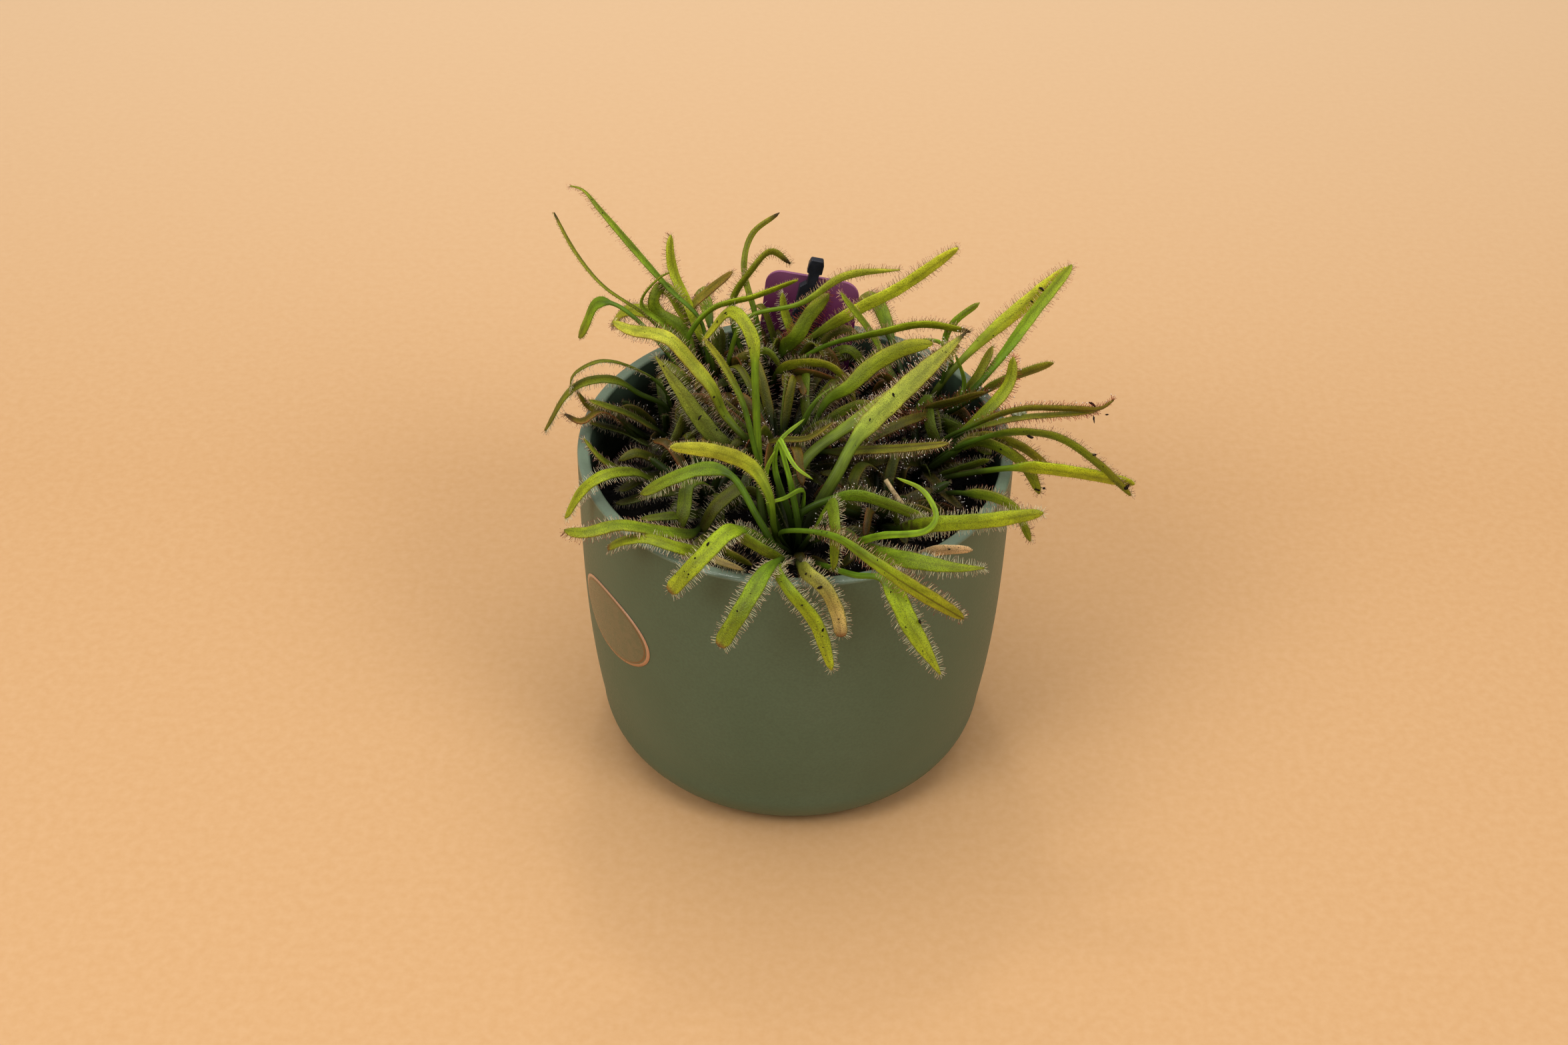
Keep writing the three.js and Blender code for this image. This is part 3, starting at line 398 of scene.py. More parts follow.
# How a leaf's blade opens out after its stalk, in shares of the blade.
OPEN_FROM = -0.12
OPEN_BY = 0.14
OPEN_SLOWLY = 0.5
OPEN_LATE = 0.8
STALK_FOOT = (0.35, 0.05)  # how much wider a stalk is at its foot, and the share of the leaf where that fades
STALK_DEPTH = 0.75  # a stalk's greatest thickness, as a share of its width
TIP_THINNING = 0.4  # how much thinner a blade is at its end
TAPER = 0.14  # how much narrower it is at its end, before its tip
YOUNG_TAPER = 0.45
STATION = 1.1  # millimetres between rings of vertices
CURVE_STEPS = 16  # between two points of a midline, before it is divided evenly
BARE_WIDTH = 0.83  # a blade without the feet of its tentacles, which part.mjs takes in
# Sections of a blade and of a stalk: how far across and how high, as shares of half width and half thickness.
BLADE_SECTION = np.array([
    (1, 0), (0.97, 0.6), (0.84, 0.94), (0, 1), (-0.84, 0.94), (-0.97, 0.6),
    (-1, 0), (-0.97, -0.6), (-0.84, -0.94), (0, -1), (0.84, -0.94), (0.97, -0.6),
])
RING = len(BLADE_SECTION)
STALK_SECTION = np.array([
    (math.cos(2 * math.pi * k / RING), math.sin(2 * math.pi * k / RING)) for k in range(RING)
])
# How far the edges bend towards the tentacled face, as shares of half the width.
STALK_CURL = 0.02
BLADE_CURL = 0.16
HEART_CURL = 0.8
FOLD = 1.15  # how sharply a blade is creased along its midrib: 1 is a straight-sided V
FILLER_RADIUS = 47  # fillers stay inside it
FILLER_PHASE = 60  # degrees that they stand past the young leaves
FILLER_SPREAD = (0.55, 1.1)  # least and greatest reach, as shares of their rosette's
FILLER_DEPTH = 14  # how far under the highest tip the others may be
FILLER_DROOP = 6  # how far a tip may hang under the leaf's arch
FILLER_WIDTHS = (2.6, 3.7)
FILLER_TURN = 55
FILLER_LOOKS = ["red rose dew", "olive rose", "olive pale", "green rose dew", "green pale"]

# Two rows of tentacles along each edge: one stands out from it, the other bends towards the tentacled face.
# Least and greatest dip in degrees, size and spacing.
EDGE_ROWS = ((-12, 22, 1.0, 0.4), (30, 75, 0.85, 0.7))
EDGE_LENGTHS = (0.55, 1.15)  # least and greatest, as shares of their row's size
TIP_FAN = 9  # tentacles round the tip
TIP_SPREAD = 70  # degrees to each side that they stand out
TIP_DIP = (-15, 50)
TIP_LENGTHS = (0.7, 1.05)
FACE_DENSITY = 0.3  # tentacles in a square millimetre of the tentacled face
FACE_EDGE = 0.92  # how far out they stand, as a share of half the width
FACE_SLANT = 0.22
FACE_LENGTHS = (0.8, 1.15)
FOOT_EDGE = 0.96  # how far out the feet at the very edge stand
FOOT_LIFT = 0.1  # how far a foot is from the blade's middle, towards the tentacled face
FULL_LENGTH_WIDTH = 4.4  # narrower blades have shorter tentacles
SPARE_GAP = 1.5  # how much further apart they stand on spare leaves
# Height, as a share of its length, and radius of the rings of a tentacle.
TENTACLE_LEVELS = ((0.0, 0.075), (0.72, 0.035), (0.92, 0.058))
TENTACLE_HEAD = 0.06  # how far the top of its head stands past its length
TENTACLE_BEND = (0.05, 0.14)  # mean and spread, as shares of its length
TENTACLE_TONES = (0.85, 1.15)  # how tentacles differ in brightness
WET_SHARE = 0.14  # tentacles with a drop, on dewy leaves
DROP_RADII = (0.09, 0.19)

POT_SECTORS = 144
STICKER_SECTORS = 72
STICKER_RINGS = 10
SOIL_RINGS = 44
SOIL_SECTORS = 120
SOIL_CRUMBS = 600
SOIL_CRUMB_RADII = (0.3, 1.0)
# The soil's uneven top: a sum of waves.
RIPPLE_SEED = 3
RIPPLE_WAVES = 14
RIPPLE_LENGTHS = (1.6, 14)
RIPPLE_HEIGHT = 0.55
LUMPS = 0.25  # unevenness of crumbs and grains

# ---------------------------------------------------------------- floor and lights, in metres

FLOOR_REACH = 3.0
WORLD_TINT = (1.0, 0.93, 0.85, 1)
WORLD_STRENGTH = 0.42
# Each lamp: its place, what it is aimed at, its size, power and tint.
LIGHTS = (
    ("overhead", (-0.05, 0.05, 1.2), (0, 0.05, 0.06), 1.3, 6.0, (1, 0.98, 0.94)),
    ("glint", (-0.05, 0.5, 0.95), (0, 0, 0.06), 0.12, 0.9, (1, 0.98, 0.95)),
    ("left", (-0.75, -0.7, 1.0), (0, 0, 0.06), 0.6, 6.5, (1, 0.98, 0.94)),
    ("right", (0.75, -0.7, 1.0), (0, 0, 0.06), 0.6, 4.8, (1, 0.98, 0.94)),
)

# ---------------------------------------------------------------- meshes


def smoothstep(x, low, high):
    t = np.clip((x - low) / (high - low), 0, 1)
    return t * t * (3 - 2 * t)


def unit(v):
    return v / np.maximum(np.linalg.norm(v, axis=-1, keepdims=True), 1e-9)


def mix(a, b, share):
    return a + (b - a) * share


def stacked(*arrays):
    """Arrays of any matching shapes as the last axis of one array."""
    return np.stack(np.broadcast_arrays(*arrays), -1)


def spun(radius, height, sectors):
    """Rings of points about Z, one for each radius and height."""
    angle = np.arange(sectors) / sectors * 2 * math.pi
    radius = radius[:, None]
    return stacked(radius * np.cos(angle), radius * np.sin(angle), height[:, None])


def grid_faces(rows, columns):
    """Triangles between neighbouring vertices of a grid whose rows close on themselves."""
    i, j = np.meshgrid(np.arange(rows - 1), np.arange(columns), indexing="ij")
    k = (j + 1) % columns
    a, b, c, d = i * columns + j, i * columns + k, (i + 1) * columns + k, (i + 1) * columns + j
    return np.concatenate([np.stack([a, b, c], -1).reshape(-1, 3), np.stack([a, c, d], -1).reshape(-1, 3)])


def fan_faces(centre, ring):
    """Triangles from one vertex to a closed ring of vertices."""
    return np.stack([np.full(len(ring), centre), ring, np.roll(ring, -1)], -1)


def capped_faces(rows, columns, flip):
    """Triangles of a closed body: rings of vertices, then one vertex at its first end and one at its last."""
    ring = np.arange(columns)
    faces = np.concatenate([
        grid_faces(rows, columns),
        fan_faces(rows * columns, ring)[:, ::-1],
        fan_faces(rows * columns + 1, ring + (rows - 1) * columns),
    ])
    return faces[:, ::-1] if flip else faces


def with_ends(values):
    """Values at rings of vertices, and again for the one vertex at each end."""
    return np.vstack([values, values[:1], values[-1:]])


def link(name, data):
    """A new object in the scene."""
    made = bpy.data.objects.new(name, data)
    bpy.context.scene.collection.objects.link(made)
    return made


class Surface:
    """Gathers vertices in millimetres, triangles and values at the vertices, and makes one mesh of them."""

    def __init__(self):
        self.parts = []
        self.count = 0

    def add(self, vertices, faces, **values):
        self.parts.append((vertices, faces + self.count, values))
        self.count += len(vertices)

    def add_body(self, rings, first, last, flip=False, **values):
        """A closed body of rings of vertices, with one more vertex at each end."""
        faces = capped_faces(*rings.shape[:2], flip)
        self.add(np.vstack([rings.reshape(-1, 3), first, last]), faces, **values)

    def make(self, name, material, smooth=True):
        vertices = np.concatenate([part[0] for part in self.parts]) * MM
        faces = np.concatenate([part[1] for part in self.parts])
        mesh = bpy.data.meshes.new(name)
        mesh.vertices.add(len(vertices))
        mesh.vertices.foreach_set("co", vertices.astype(np.float32).ravel())
        mesh.loops.add(3 * len(faces))
        mesh.loops.foreach_set("vertex_index", faces.astype(np.int32).ravel())
        mesh.polygons.add(len(faces))
        mesh.polygons.foreach_set("loop_start", np.arange(0, 3 * len(faces), 3, dtype=np.int32))
        mesh.polygons.foreach_set("use_smooth", np.full(len(faces), smooth))
        mesh.update(calc_edges=True)
        for key in self.parts[0][2]:
            data = np.concatenate([part[2][key] for part in self.parts]).astype(np.float32)
            kind, field = ("FLOAT_COLOR", "color") if data.shape[1] == 4 else ("FLOAT_VECTOR", "vector")
            mesh.attributes.new(key, kind, "POINT").data.foreach_set(field, data.ravel())
        mesh.materials.append(material)
        made = link(name, mesh)
        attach(made, "root")
        return made


def sphere(stacks, sectors):
    """Rings and both poles of a unit sphere."""
    polar = np.linspace(0, math.pi, stacks + 1)[1:-1]
    return spun(np.sin(polar), np.cos(polar), sectors), [0, 0, 1], [0, 0, -1]


def blobs(surface, middles, radii, stacks, sectors):
    """Small round bodies, all of one build."""
    rings, top, bottom = sphere(stacks, sectors)
    ball = np.vstack([rings.reshape(-1, 3), top, bottom])
    faces = capped_faces(*rings.shape[:2], True)
    vertices = middles[:, None] + ball[None] * radii[:, None, None]
    every = (faces[None] + len(ball) * np.arange(len(middles))[:, None, None]).reshape(-1, 3)
    surface.add(vertices.reshape(-1, 3), every)


def lumpy(surface, middle, radii, rng, stacks=5, sectors=7):
    """A small uneven stone or crumb."""
    rings, top, bottom = sphere(stacks, sectors)
    ball = np.vstack([rings.reshape(-1, 3), top, bottom])
    bumps = 1 + LUMPS * rng.normal(0, 1, (len(ball), 1)).clip(-1.5, 1.5)
    turn = np.linalg.qr(rng.normal(0, 1, (3, 3)))[0]
    turn *= np.sign(np.linalg.det(turn))
    surface.add(middle + (ball * radii * bumps) @ turn.T, capped_faces(*rings.shape[:2], True))


def curve_through(points, spacing):
    """Evenly spaced points of the centripetal Catmull-Rom curve through the given ones, and its length."""
    ends = np.vstack([2 * points[0] - points[1], points, 2 * points[-1] - points[-2]])
    dense = [points[:1]]
    t = np.linspace(0, 1, CURVE_STEPS + 1)[1:, None]
    for a, b, c, d in zip(ends, ends[1:], ends[2:], ends[3:]):
        ab, bc, cd = (max(math.sqrt(np.linalg.norm(q - p)), 1e-3) for p, q in ((a, b), (b, c), (c, d)))
        out = bc * ((b - a) / ab - (c - a) / (ab + bc) + (c - b) / bc)
        into = bc * ((c - b) / bc - (d - b) / (bc + cd) + (d - c) / cd)
        dense.append(
            b * (2 * t**3 - 3 * t**2 + 1) + out * (t**3 - 2 * t**2 + t)
            + c * (3 * t**2 - 2 * t**3) + into * (t**3 - t**2)
        )
    dense = np.vstack(dense)
    lengths = np.concatenate([[0], np.cumsum(np.linalg.norm(np.diff(dense, axis=0), axis=1))])
    stations = np.linspace(0, lengths[-1], max(6, round(lengths[-1] / spacing)) + 1)
    return np.stack([np.interp(stations, lengths, dense[:, k]) for k in range(3)], 1), lengths[-1]


# ---------------------------------------------------------------- leaves


def shade(points):
    """How bright a colour stays at points of the plant: painted shade darkens it low down inside the rim."""
    low = 1 - smoothstep(points[..., 2], *PAINTED_TUFT_SHADE_HEIGHTS)
    inside = 1 - smoothstep(np.hypot(points[..., 0], points[..., 1]), *PAINTED_TUFT_SHADE_REACH)
    return 1 - PAINTED_TUFT_SHADE * low * inside


def carried(direction, tangents, middle):
    """A direction across the midline, carried from its middle to both ends without twist."""
    backs = np.zeros_like(tangents)
    backs[middle] = direction
    for steps in (range(middle - 1, -1, -1), range(middle + 1, len(tangents))):
        before = direction
        for i in steps:
            before = unit(before - tangents[i] * (before @ tangents[i]))
            backs[i] = before
    return backs


class Leaf:
    """One leaf: its midline with the directions across it, its size along the way and its look."""

    def __init__(self, root, rng, look, width, stalk_width, turn, stalk_share, *midline):
        self.rng = rng
        self.words = look.split()
        self.blade_look = BLADES[self.words[0]]
        self.tentacle_look = next((TENTACLES[word] for word in self.words if word in TENTACLES), None)
        self.centre, self.length = curve_through(np.array([root, *midline], float), STATION)
        count = len(self.centre)
        self.share = np.linspace(0, 1, count)
        self.tangent = unit(np.gradient(self.centre, axis=0))
        middle = round((1 + stalk_share) / 2 * (count - 1))
        axis = self.tangent[middle]
        lit = unit(TOWARDS_LIGHT - axis * (TOWARDS_LIGHT @ axis))
        angle = math.radians(turn)
        start = lit * math.cos(angle) + np.cross(axis, lit) * math.sin(angle)
        self.back = carried(start, self.tangent, middle)
        self.side = np.cross(self.tangent, self.back)
        self.stalk_share = stalk_share
        self.width = width * BARE_WIDTH
        past = (self.share - stalk_share) / (1 - stalk_share)
        open_by = OPEN_LATE if self.has("late") else OPEN_SLOWLY if self.has("slow") else OPEN_BY
        self.opening = smoothstep(past, OPEN_FROM, open_by)
        self.past = np.clip(past, 0, 1)
        self.half_width = self.widths(stalk_width) / 2
        thickness = mix(min(STALK_THICKNESS, STALK_DEPTH * stalk_width), BLADE_THICKNESS, self.opening)
        self.half_thickness = thickness / 2 * (1 - TIP_THINNING * self.past**4)

    def has(self, *words):
        return any(word in self.words for word in words)

    def widths(self, stalk_width):
        """The blade opens out after the stalk, narrows slowly and ends blunt, in a long point or in a cut."""
        def ending(start, reach, power):
            return np.clip((self.past - start) / reach, 0, 1) ** power

        wider, fading = STALK_FOOT
        foot = 1 + wider * np.exp(-self.share / fading)
        taper = 1 - (YOUNG_TAPER if self.has("young") else TAPER) * self.past
        if self.has("cut"):
            end = np.sqrt(1 - 0.6 * ending(0.93, 0.07, 2))
        elif self.has("point"):
            end = 0.1 + 0.9 * (1 - ending(0.5, 0.5, 1.7))
        else:
            end = 0.12 + 0.88 * np.sqrt(1 - ending(0.7, 0.3, 2.5))
        along = self.share * self.length
        ripple = 1 + (0.03 * np.sin(along * 0.9 + self.width * 7) + 0.02 * np.sin(along * 2.3)) * self.opening
        return mix(stalk_width * foot, self.width * taper, self.opening) * end * ripple

    def at(self, values, share):
        """Values along the midline, read at any share of it."""
        if values.ndim == 1:
            return np.interp(share, self.share, values)
        return np.stack([np.interp(share, self.share, values[:, k]) for k in range(values.shape[1])], 1)

    def curl(self):
        """How far the edges bend towards the tentacled face, as a share of half the width."""
        return mix(STALK_CURL, HEART_CURL if self.has("heart") else BLADE_CURL, self.opening)

    def fold(self, share, across):
        """How far the crease takes the blade towards its tentacled face, at any place on it."""
        return self.at(self.curl(), share) * self.at(self.half_width, share) * np.abs(across) ** FOLD

    def tones(self, across):
        """Linear base colours at the section's vertices, before the material's own fine detail."""
        stalk, blade, tip = (colour(code) for code in self.blade_look)
        rng = self.rng
        along = (self.share * self.length)[:, None, None]
        opening = self.opening[:, None, None]
        past = self.past[:, None, None]
        across = across[..., None]
        # Painted shadow darkens each stalk near the stem.
        foot = np.exp(-((along / FOOT_REACH) ** 2))
        tone = mix(mix(stalk, FOOT_SHADOW_GREEN, FOOT_SHADE * foot), mix(blade, tip, past**1.5), opening)
        crease = np.exp(-((across / CREASE_REACH) ** 2))
        tone = tone * (1 + opening * (EDGE_LIGHT - CREASE_SHADE * crease))
        wave = np.sin(along * 0.35 + rng.uniform(0, 6)) * np.sin(along * 0.13 + 1)
        grain = rng.normal(0, LEAF_GRAIN, across.shape) * opening
        # Painted shade low down inside the rim.
        tone = tone * (rng.uniform(*LEAF_TONES) + 0.1 * wave + grain) * shade(self.centre)[:, None, None]
        edge = np.abs(across) ** 6 * opening
        for word, (code, amount) in EDGE_TINTS.items():
            if word in self.words:
                tone = mix(tone, colour(code), edge * amount)
        if self.has("stain"):
            fading, amount = STAIN
            stain = (past > 0) * np.exp(-((past / fading) ** 2)) * (rng.uniform(0, 1, across.shape) < amount)
            tone = mix(tone, BROWN, DEAD_DEPTH * stain)
        for word, (tint, start, end) in TIP_TINTS.items():
            if word in self.words:
                share = smoothstep(along, self.length - start, self.length - end)
                tone = mix(tone, tint, DEAD_DEPTH * share)
        return tone

    def add_to(self, surface):
        """Rings of vertices along the midline, with what the leaf material reads at each."""
        opening = self.opening[:, None]
        half_width = self.half_width[:, None]
        across = mix(STALK_SECTION[:, 0], BLADE_SECTION[:, 0], opening)
        up = mix(STALK_SECTION[:, 1], BLADE_SECTION[:, 1], opening)
        fold = -self.curl()[:, None] * half_width * np.abs(across) ** FOLD
        wave = 0.02 * self.rng.normal(0, 1, across.shape) * opening * (np.abs(across) < 0.9)
        lift = self.half_thickness[:, None] * up + fold + wave
        rings = (
            self.centre[:, None]
            + self.side[:, None] * (across * half_width)[..., None]
            + self.back[:, None] * lift[..., None]
        )
        tip = self.centre[-1] + self.tangent[-1] * 0.25 * self.half_width[-1]
        tone = self.tones(across).reshape(-1, 3)
        tone = np.hstack([tone, np.ones((len(tone), 1))])
        seed = self.rng.uniform(0, 400)
        place = stacked(across * half_width, self.share[:, None] * self.length, seed + (up < 0) * 50.0)
        grained = opening * (0.15 if self.has("young", "heart") else 1.0)
        line = opening * (0.6 if self.has("rib") else 0.15)
        kind = stacked(grained, line, self.has("specks") + 0 * across)
        surface.add_body(
            rings, self.centre[:1], tip, True,
            tone=with_ends(tone),
            leaf_place=with_ends(place.reshape(-1, 3)),
            leaf_kind=with_ends(kind.reshape(-1, 3)),
        )

    def specks_on_back(self):
        """Where crumbs of peat stick to the blade's back, with their radii."""
        count = CRUMBS_A_LEAF if self.has("specks") else 0
        share = mix(self.stalk_share, 0.97, self.rng.uniform(0, 1, count))
        across = self.rng.uniform(-0.75, 0.75, count)
        lift = self.at(self.half_thickness, share) - self.fold(share, across)
        aside = across * self.at(self.half_width, share)
        place = self.at(self.centre, share) + self.at(self.side, share) * aside[:, None]
        place = place + self.at(self.back, share) * lift[:, None]
        least, more = CRUMB_RADII
        return place, least + more * self.rng.uniform(0, 1, count) ** 2


def young_leaf(at, phase, number):
    """The look, sizes and midline of a leaf near a rosette's heart, by part.mjs's rule."""
    angle = math.radians(phase + GOLDEN_ANGLE * number)
    degrees, length, width, droop = (first + more * number for first, more in YOUNG_LEAF)
    stalk_width, stalk_share = YOUNG_STALK
    lean = math.radians(degrees)

    def point(share, down):
        out = math.sin(lean) * length * share
        return (
            at[0] + math.cos(angle) * out,
            at[1] + math.sin(angle) * out,
            LEAF_ROOT + length * share * math.cos(lean) - down,
        )

    return "heart downy spare", width, stalk_width, 0, stalk_share, point(0.5, 0), point(1, droop)


def filler_leaf(at, phase, number, top, reach, rng):
    """A small arching leaf round a rosette's heart, kept inside the rim."""
    angle = math.radians(phase + FILLER_PHASE + GOLDEN_ANGLE * number)
    out = reach * rng.uniform(*FILLER_SPREAD)
    tip_height = mix(top - FILLER_DEPTH, top, rng.uniform(0, 1))
    end = np.array([at[0] + out * math.cos(angle), at[1] + out * math.sin(angle)])
    radius = np.hypot(*end)
    if radius > FILLER_RADIUS:
        end *= FILLER_RADIUS / radius
    near = mix(np.array(at), end, 0.35)
    far = mix(np.array(at), end, 0.75)
    droop = rng.uniform(0, FILLER_DROOP)
    look = rng.choice(FILLER_LOOKS)
    return (
        f"{look} spare", rng.uniform(*FILLER_WIDTHS), 1.4, rng.uniform(-FILLER_TURN, FILLER_TURN), 0.4,
        (*near, mix(LEAF_ROOT, tip_height, 0.6)), (*far, tip_height), (*end, tip_height - droop),
    )


# ---------------------------------------------------------------- tentacles


def tentacle_places(leaf):
    """Feet, directions and lengths of one leaf's tentacles, in millimetres."""
    rng = leaf.rng
    gap = SPARE_GAP if leaf.has("spare") else 1
    reach = leaf.tentacle_look[-1] * (0.6 + 0.4 * min(leaf.width / FULL_LENGTH_WIDTH, 1))
    start = leaf.stalk_share - 0.02
    blade = leaf.length * (1 - start)
    feet, ways, lengths = [], [], []

    def put(share, across, sideways, backwards, onwards, length):
        """Feet at places on the blade. Each way is a sum of shares of the blade's directions there."""
        side, back, tangent = (leaf.at(values, share) for values in (leaf.side, leaf.back, leaf.tangent))
        aside = across * leaf.at(leaf.half_width, share) * FOOT_EDGE
        drop = leaf.fold(share, across) + FOOT_LIFT
        feet.append(leaf.at(leaf.centre, share) + side * aside[:, None] - back * drop[:, None])
        ways.append(unit(side * sideways[:, None] + back * backwards[:, None] + tangent * onwards[:, None]))
        lengths.append(length)

    for low, high, size, spacing in EDGE_ROWS:
        count = max(4, int(blade / spacing / gap))
        for edge in (-1, 1):
            share = start + (1 - start) * (np.arange(count) + rng.uniform(0, 1, count)) / count
            dip = np.radians(rng.uniform(low, high, count))
            lean = rng.normal(0.12, 0.2, count) + 0.5 * smoothstep(share, 0.9, 1)
            length = reach * size * rng.uniform(*EDGE_LENGTHS, count)
            length *= smoothstep(share, start - 0.05, start + 0.1) * (1 - 0.2 * smoothstep(share, 0.85, 1))
            put(share, np.full(count, float(edge)), edge * np.cos(dip), -np.sin(dip), lean, length)
    # A fan round the tip.
    count = TIP_FAN
    spread = np.radians(np.linspace(-TIP_SPREAD, TIP_SPREAD, count) + rng.uniform(-6, 6, count))
    dip = np.radians(rng.uniform(*TIP_DIP, count))
    flat = np.cos(dip)
    put(np.full(count, 0.995), np.sin(spread) * 0.8, np.sin(spread) * flat, -np.sin(dip),
        np.cos(spread) * flat, reach * rng.uniform(*TIP_LENGTHS, count))
    # The tentacled face itself, shorter towards its middle.
    count = int(blade * leaf.width * FACE_DENSITY / gap)
    share = start + (1 - start) * rng.uniform(0, 1, count)
    across = rng.uniform(-FACE_EDGE, FACE_EDGE, count)
    slant = rng.normal(0, FACE_SLANT, (2, count))
    length = reach * (0.3 + 0.45 * np.abs(across) ** 2) * rng.uniform(*FACE_LENGTHS, count)
    put(share, across, slant[0] + 0.5 * across, np.full(count, -1.0), slant[1], length)
    return np.vstack(feet), np.vstack(ways), np.concatenate(lengths)


def add_tentacles(surface, leaf, drops):
    """Three-sided tentacles, all of one build. The wet ones' heads are added to drops."""
    foot, way, length = tentacle_places(leaf)
    rng = leaf.rng
    count = len(foot)
    aside = unit(np.cross(way, rng.normal(0, 1, (count, 3))))
    other = np.cross(way, aside)
    bend = aside * (rng.normal(*TENTACLE_BEND, count) * length)[:, None]
    rings = []
    for height, radius in TENTACLE_LEVELS:
        middle = foot + way * (length * height)[:, None] + bend * height**2
        for corner in range(3):
            turn = corner * 2 * math.pi / 3
            rings.append(middle + radius * (aside * math.cos(turn) + other * math.sin(turn)))
    top = foot + way * (length + TENTACLE_HEAD)[:, None] + bend
    rings.append(top)
    levels = len(TENTACLE_LEVELS)
    size = 3 * levels + 1
    vertices = np.stack(rings, 1).reshape(-1, 3)
    one = np.concatenate([grid_faces(levels, 3), fan_faces(size - 1, np.arange(size - 4, size - 1))[:, ::-1]])
    faces = (one[None] + size * np.arange(count)[:, None, None]).reshape(-1, 3)
    base, shaft, head, dark = (colour(code) for code in leaf.tentacle_look[:4])
    shafts = np.where(rng.uniform(0, 1, (count, 1)) < leaf.tentacle_look[4], dark, shaft)
    tone = np.empty((count, size, 3))
    tone[:, :3] = mix(base, shafts, 0.3)[:, None]
    tone[:, 3:6] = shafts[:, None]
    tone[:, 6:] = head
    # Painted shade low down inside the rim, as on the leaves.
    tone *= (rng.uniform(*TENTACLE_TONES, count) * shade(foot))[:, None, None]
    tone = np.concatenate([tone, np.ones((count, size, 1))], 2).reshape(-1, 4)
    surface.add(vertices, faces, tone=tone)
    chosen = rng.uniform(0, 1, count) < (WET_SHARE if leaf.has("dew") else 0)
    drops.append((top[chosen], rng.uniform(*DROP_RADII, chosen.sum())))


# ---------------------------------------------------------------- materials


def rgba(value):
    """A hex colour or a grey, as the value of a socket or of a ramp's stop."""
    return (*colour(value), 1) if isinstance(value, str) else (value, value, value, 1)


class Graph:
    """A material's nodes, added by type name with their inputs as values or as sockets to link."""

    def __init__(self, name):
        self.material = bpy.data.materials.new(name)
        self.material.use_nodes = True
        self.nodes = self.material.node_tree.nodes
        self.links = self.material.node_tree.links
        self.shader = self.nodes["Principled BSDF"]

    def add(self, kind, settings=(), **inputs):
        node = self.nodes.new("ShaderNode" + kind)
        for key, value in dict(settings).items():
            setattr(node, key, value)
        for key, value in inputs.items():
            self.feed(node, key.replace("_", " "), value)
        return node

    def feed(self, node, key, value):
        socket = node.inputs[int(key[1:])] if key[0] == "i" and key[1:].isdigit() else node.inputs[key]
        if isinstance(value, bpy.types.NodeSocket):
            self.links.new(value, socket)
        else:
            socket.default_value = value

    def math(self, operation, a, b=0.0):
        return self.add("Math", {"operation": operation}, i0=a, i1=b).outputs[0]

    def times(self, a, b):
        return self.math("MULTIPLY", a, b)

    def plus(self, a, b):
        return self.math("ADD", a, b)

    def ramp(self, value, *stops):
        """A colour ramp. Each stop is its place and a hex colour or a grey."""
        node = self.add("ValToRGB", Fac=value)
        elements = node.color_ramp.elements
        while len(elements) < len(stops):
            elements.new(1.0)
        for element, (place, tint) in zip(elements, stops):
            element.position = place
            element.color = rgba(tint)
        return node.outputs["Color"]

    def between(self, noise, low, high):
        """Two hex colours or greys, mixed by a noise."""
        return self.ramp(noise, (0.3, low), (0.7, high))

    def blend(self, mode, share, a, b):
        node = self.add("Mix", {"data_type": "RGBA", "blend_type": mode}, i0=share)
        for key, value in (("i6", a), ("i7", b)):
            self.feed(node, key, value if isinstance(value, bpy.types.NodeSocket) else rgba(value))
        return node.outputs[2]

    def values(self, name):
        return self.add("Attribute", {"attribute_type": "GEOMETRY", "attribute_name": name}).outputs

    def axes(self, vector):
        return self.add("SeparateXYZ", Vector=vector).outputs

    def on_object(self):
        return self.add("TexCoord").outputs["Object"]

    def scaled(self, vector, *scale):
        return self.add("Mapping", Vector=vector, Scale=scale).outputs[0]

    def noise(self, vector, scale, detail=2.0, roughness=0.5):
        return self.add("TexNoise", Vector=vector, Scale=scale, Detail=detail, Roughness=roughness).outputs[0]

    def bump(self, height, distance, strength):
        made = self.add("Bump", Height=height, Distance=distance, Strength=strength)
        self.links.new(made.outputs[0], self.shader.inputs["Normal"])

    def finish(self, **inputs):
        for key, value in inputs.items():
            self.feed(self.shader, key.replace("_", " "), value)
        return self.material


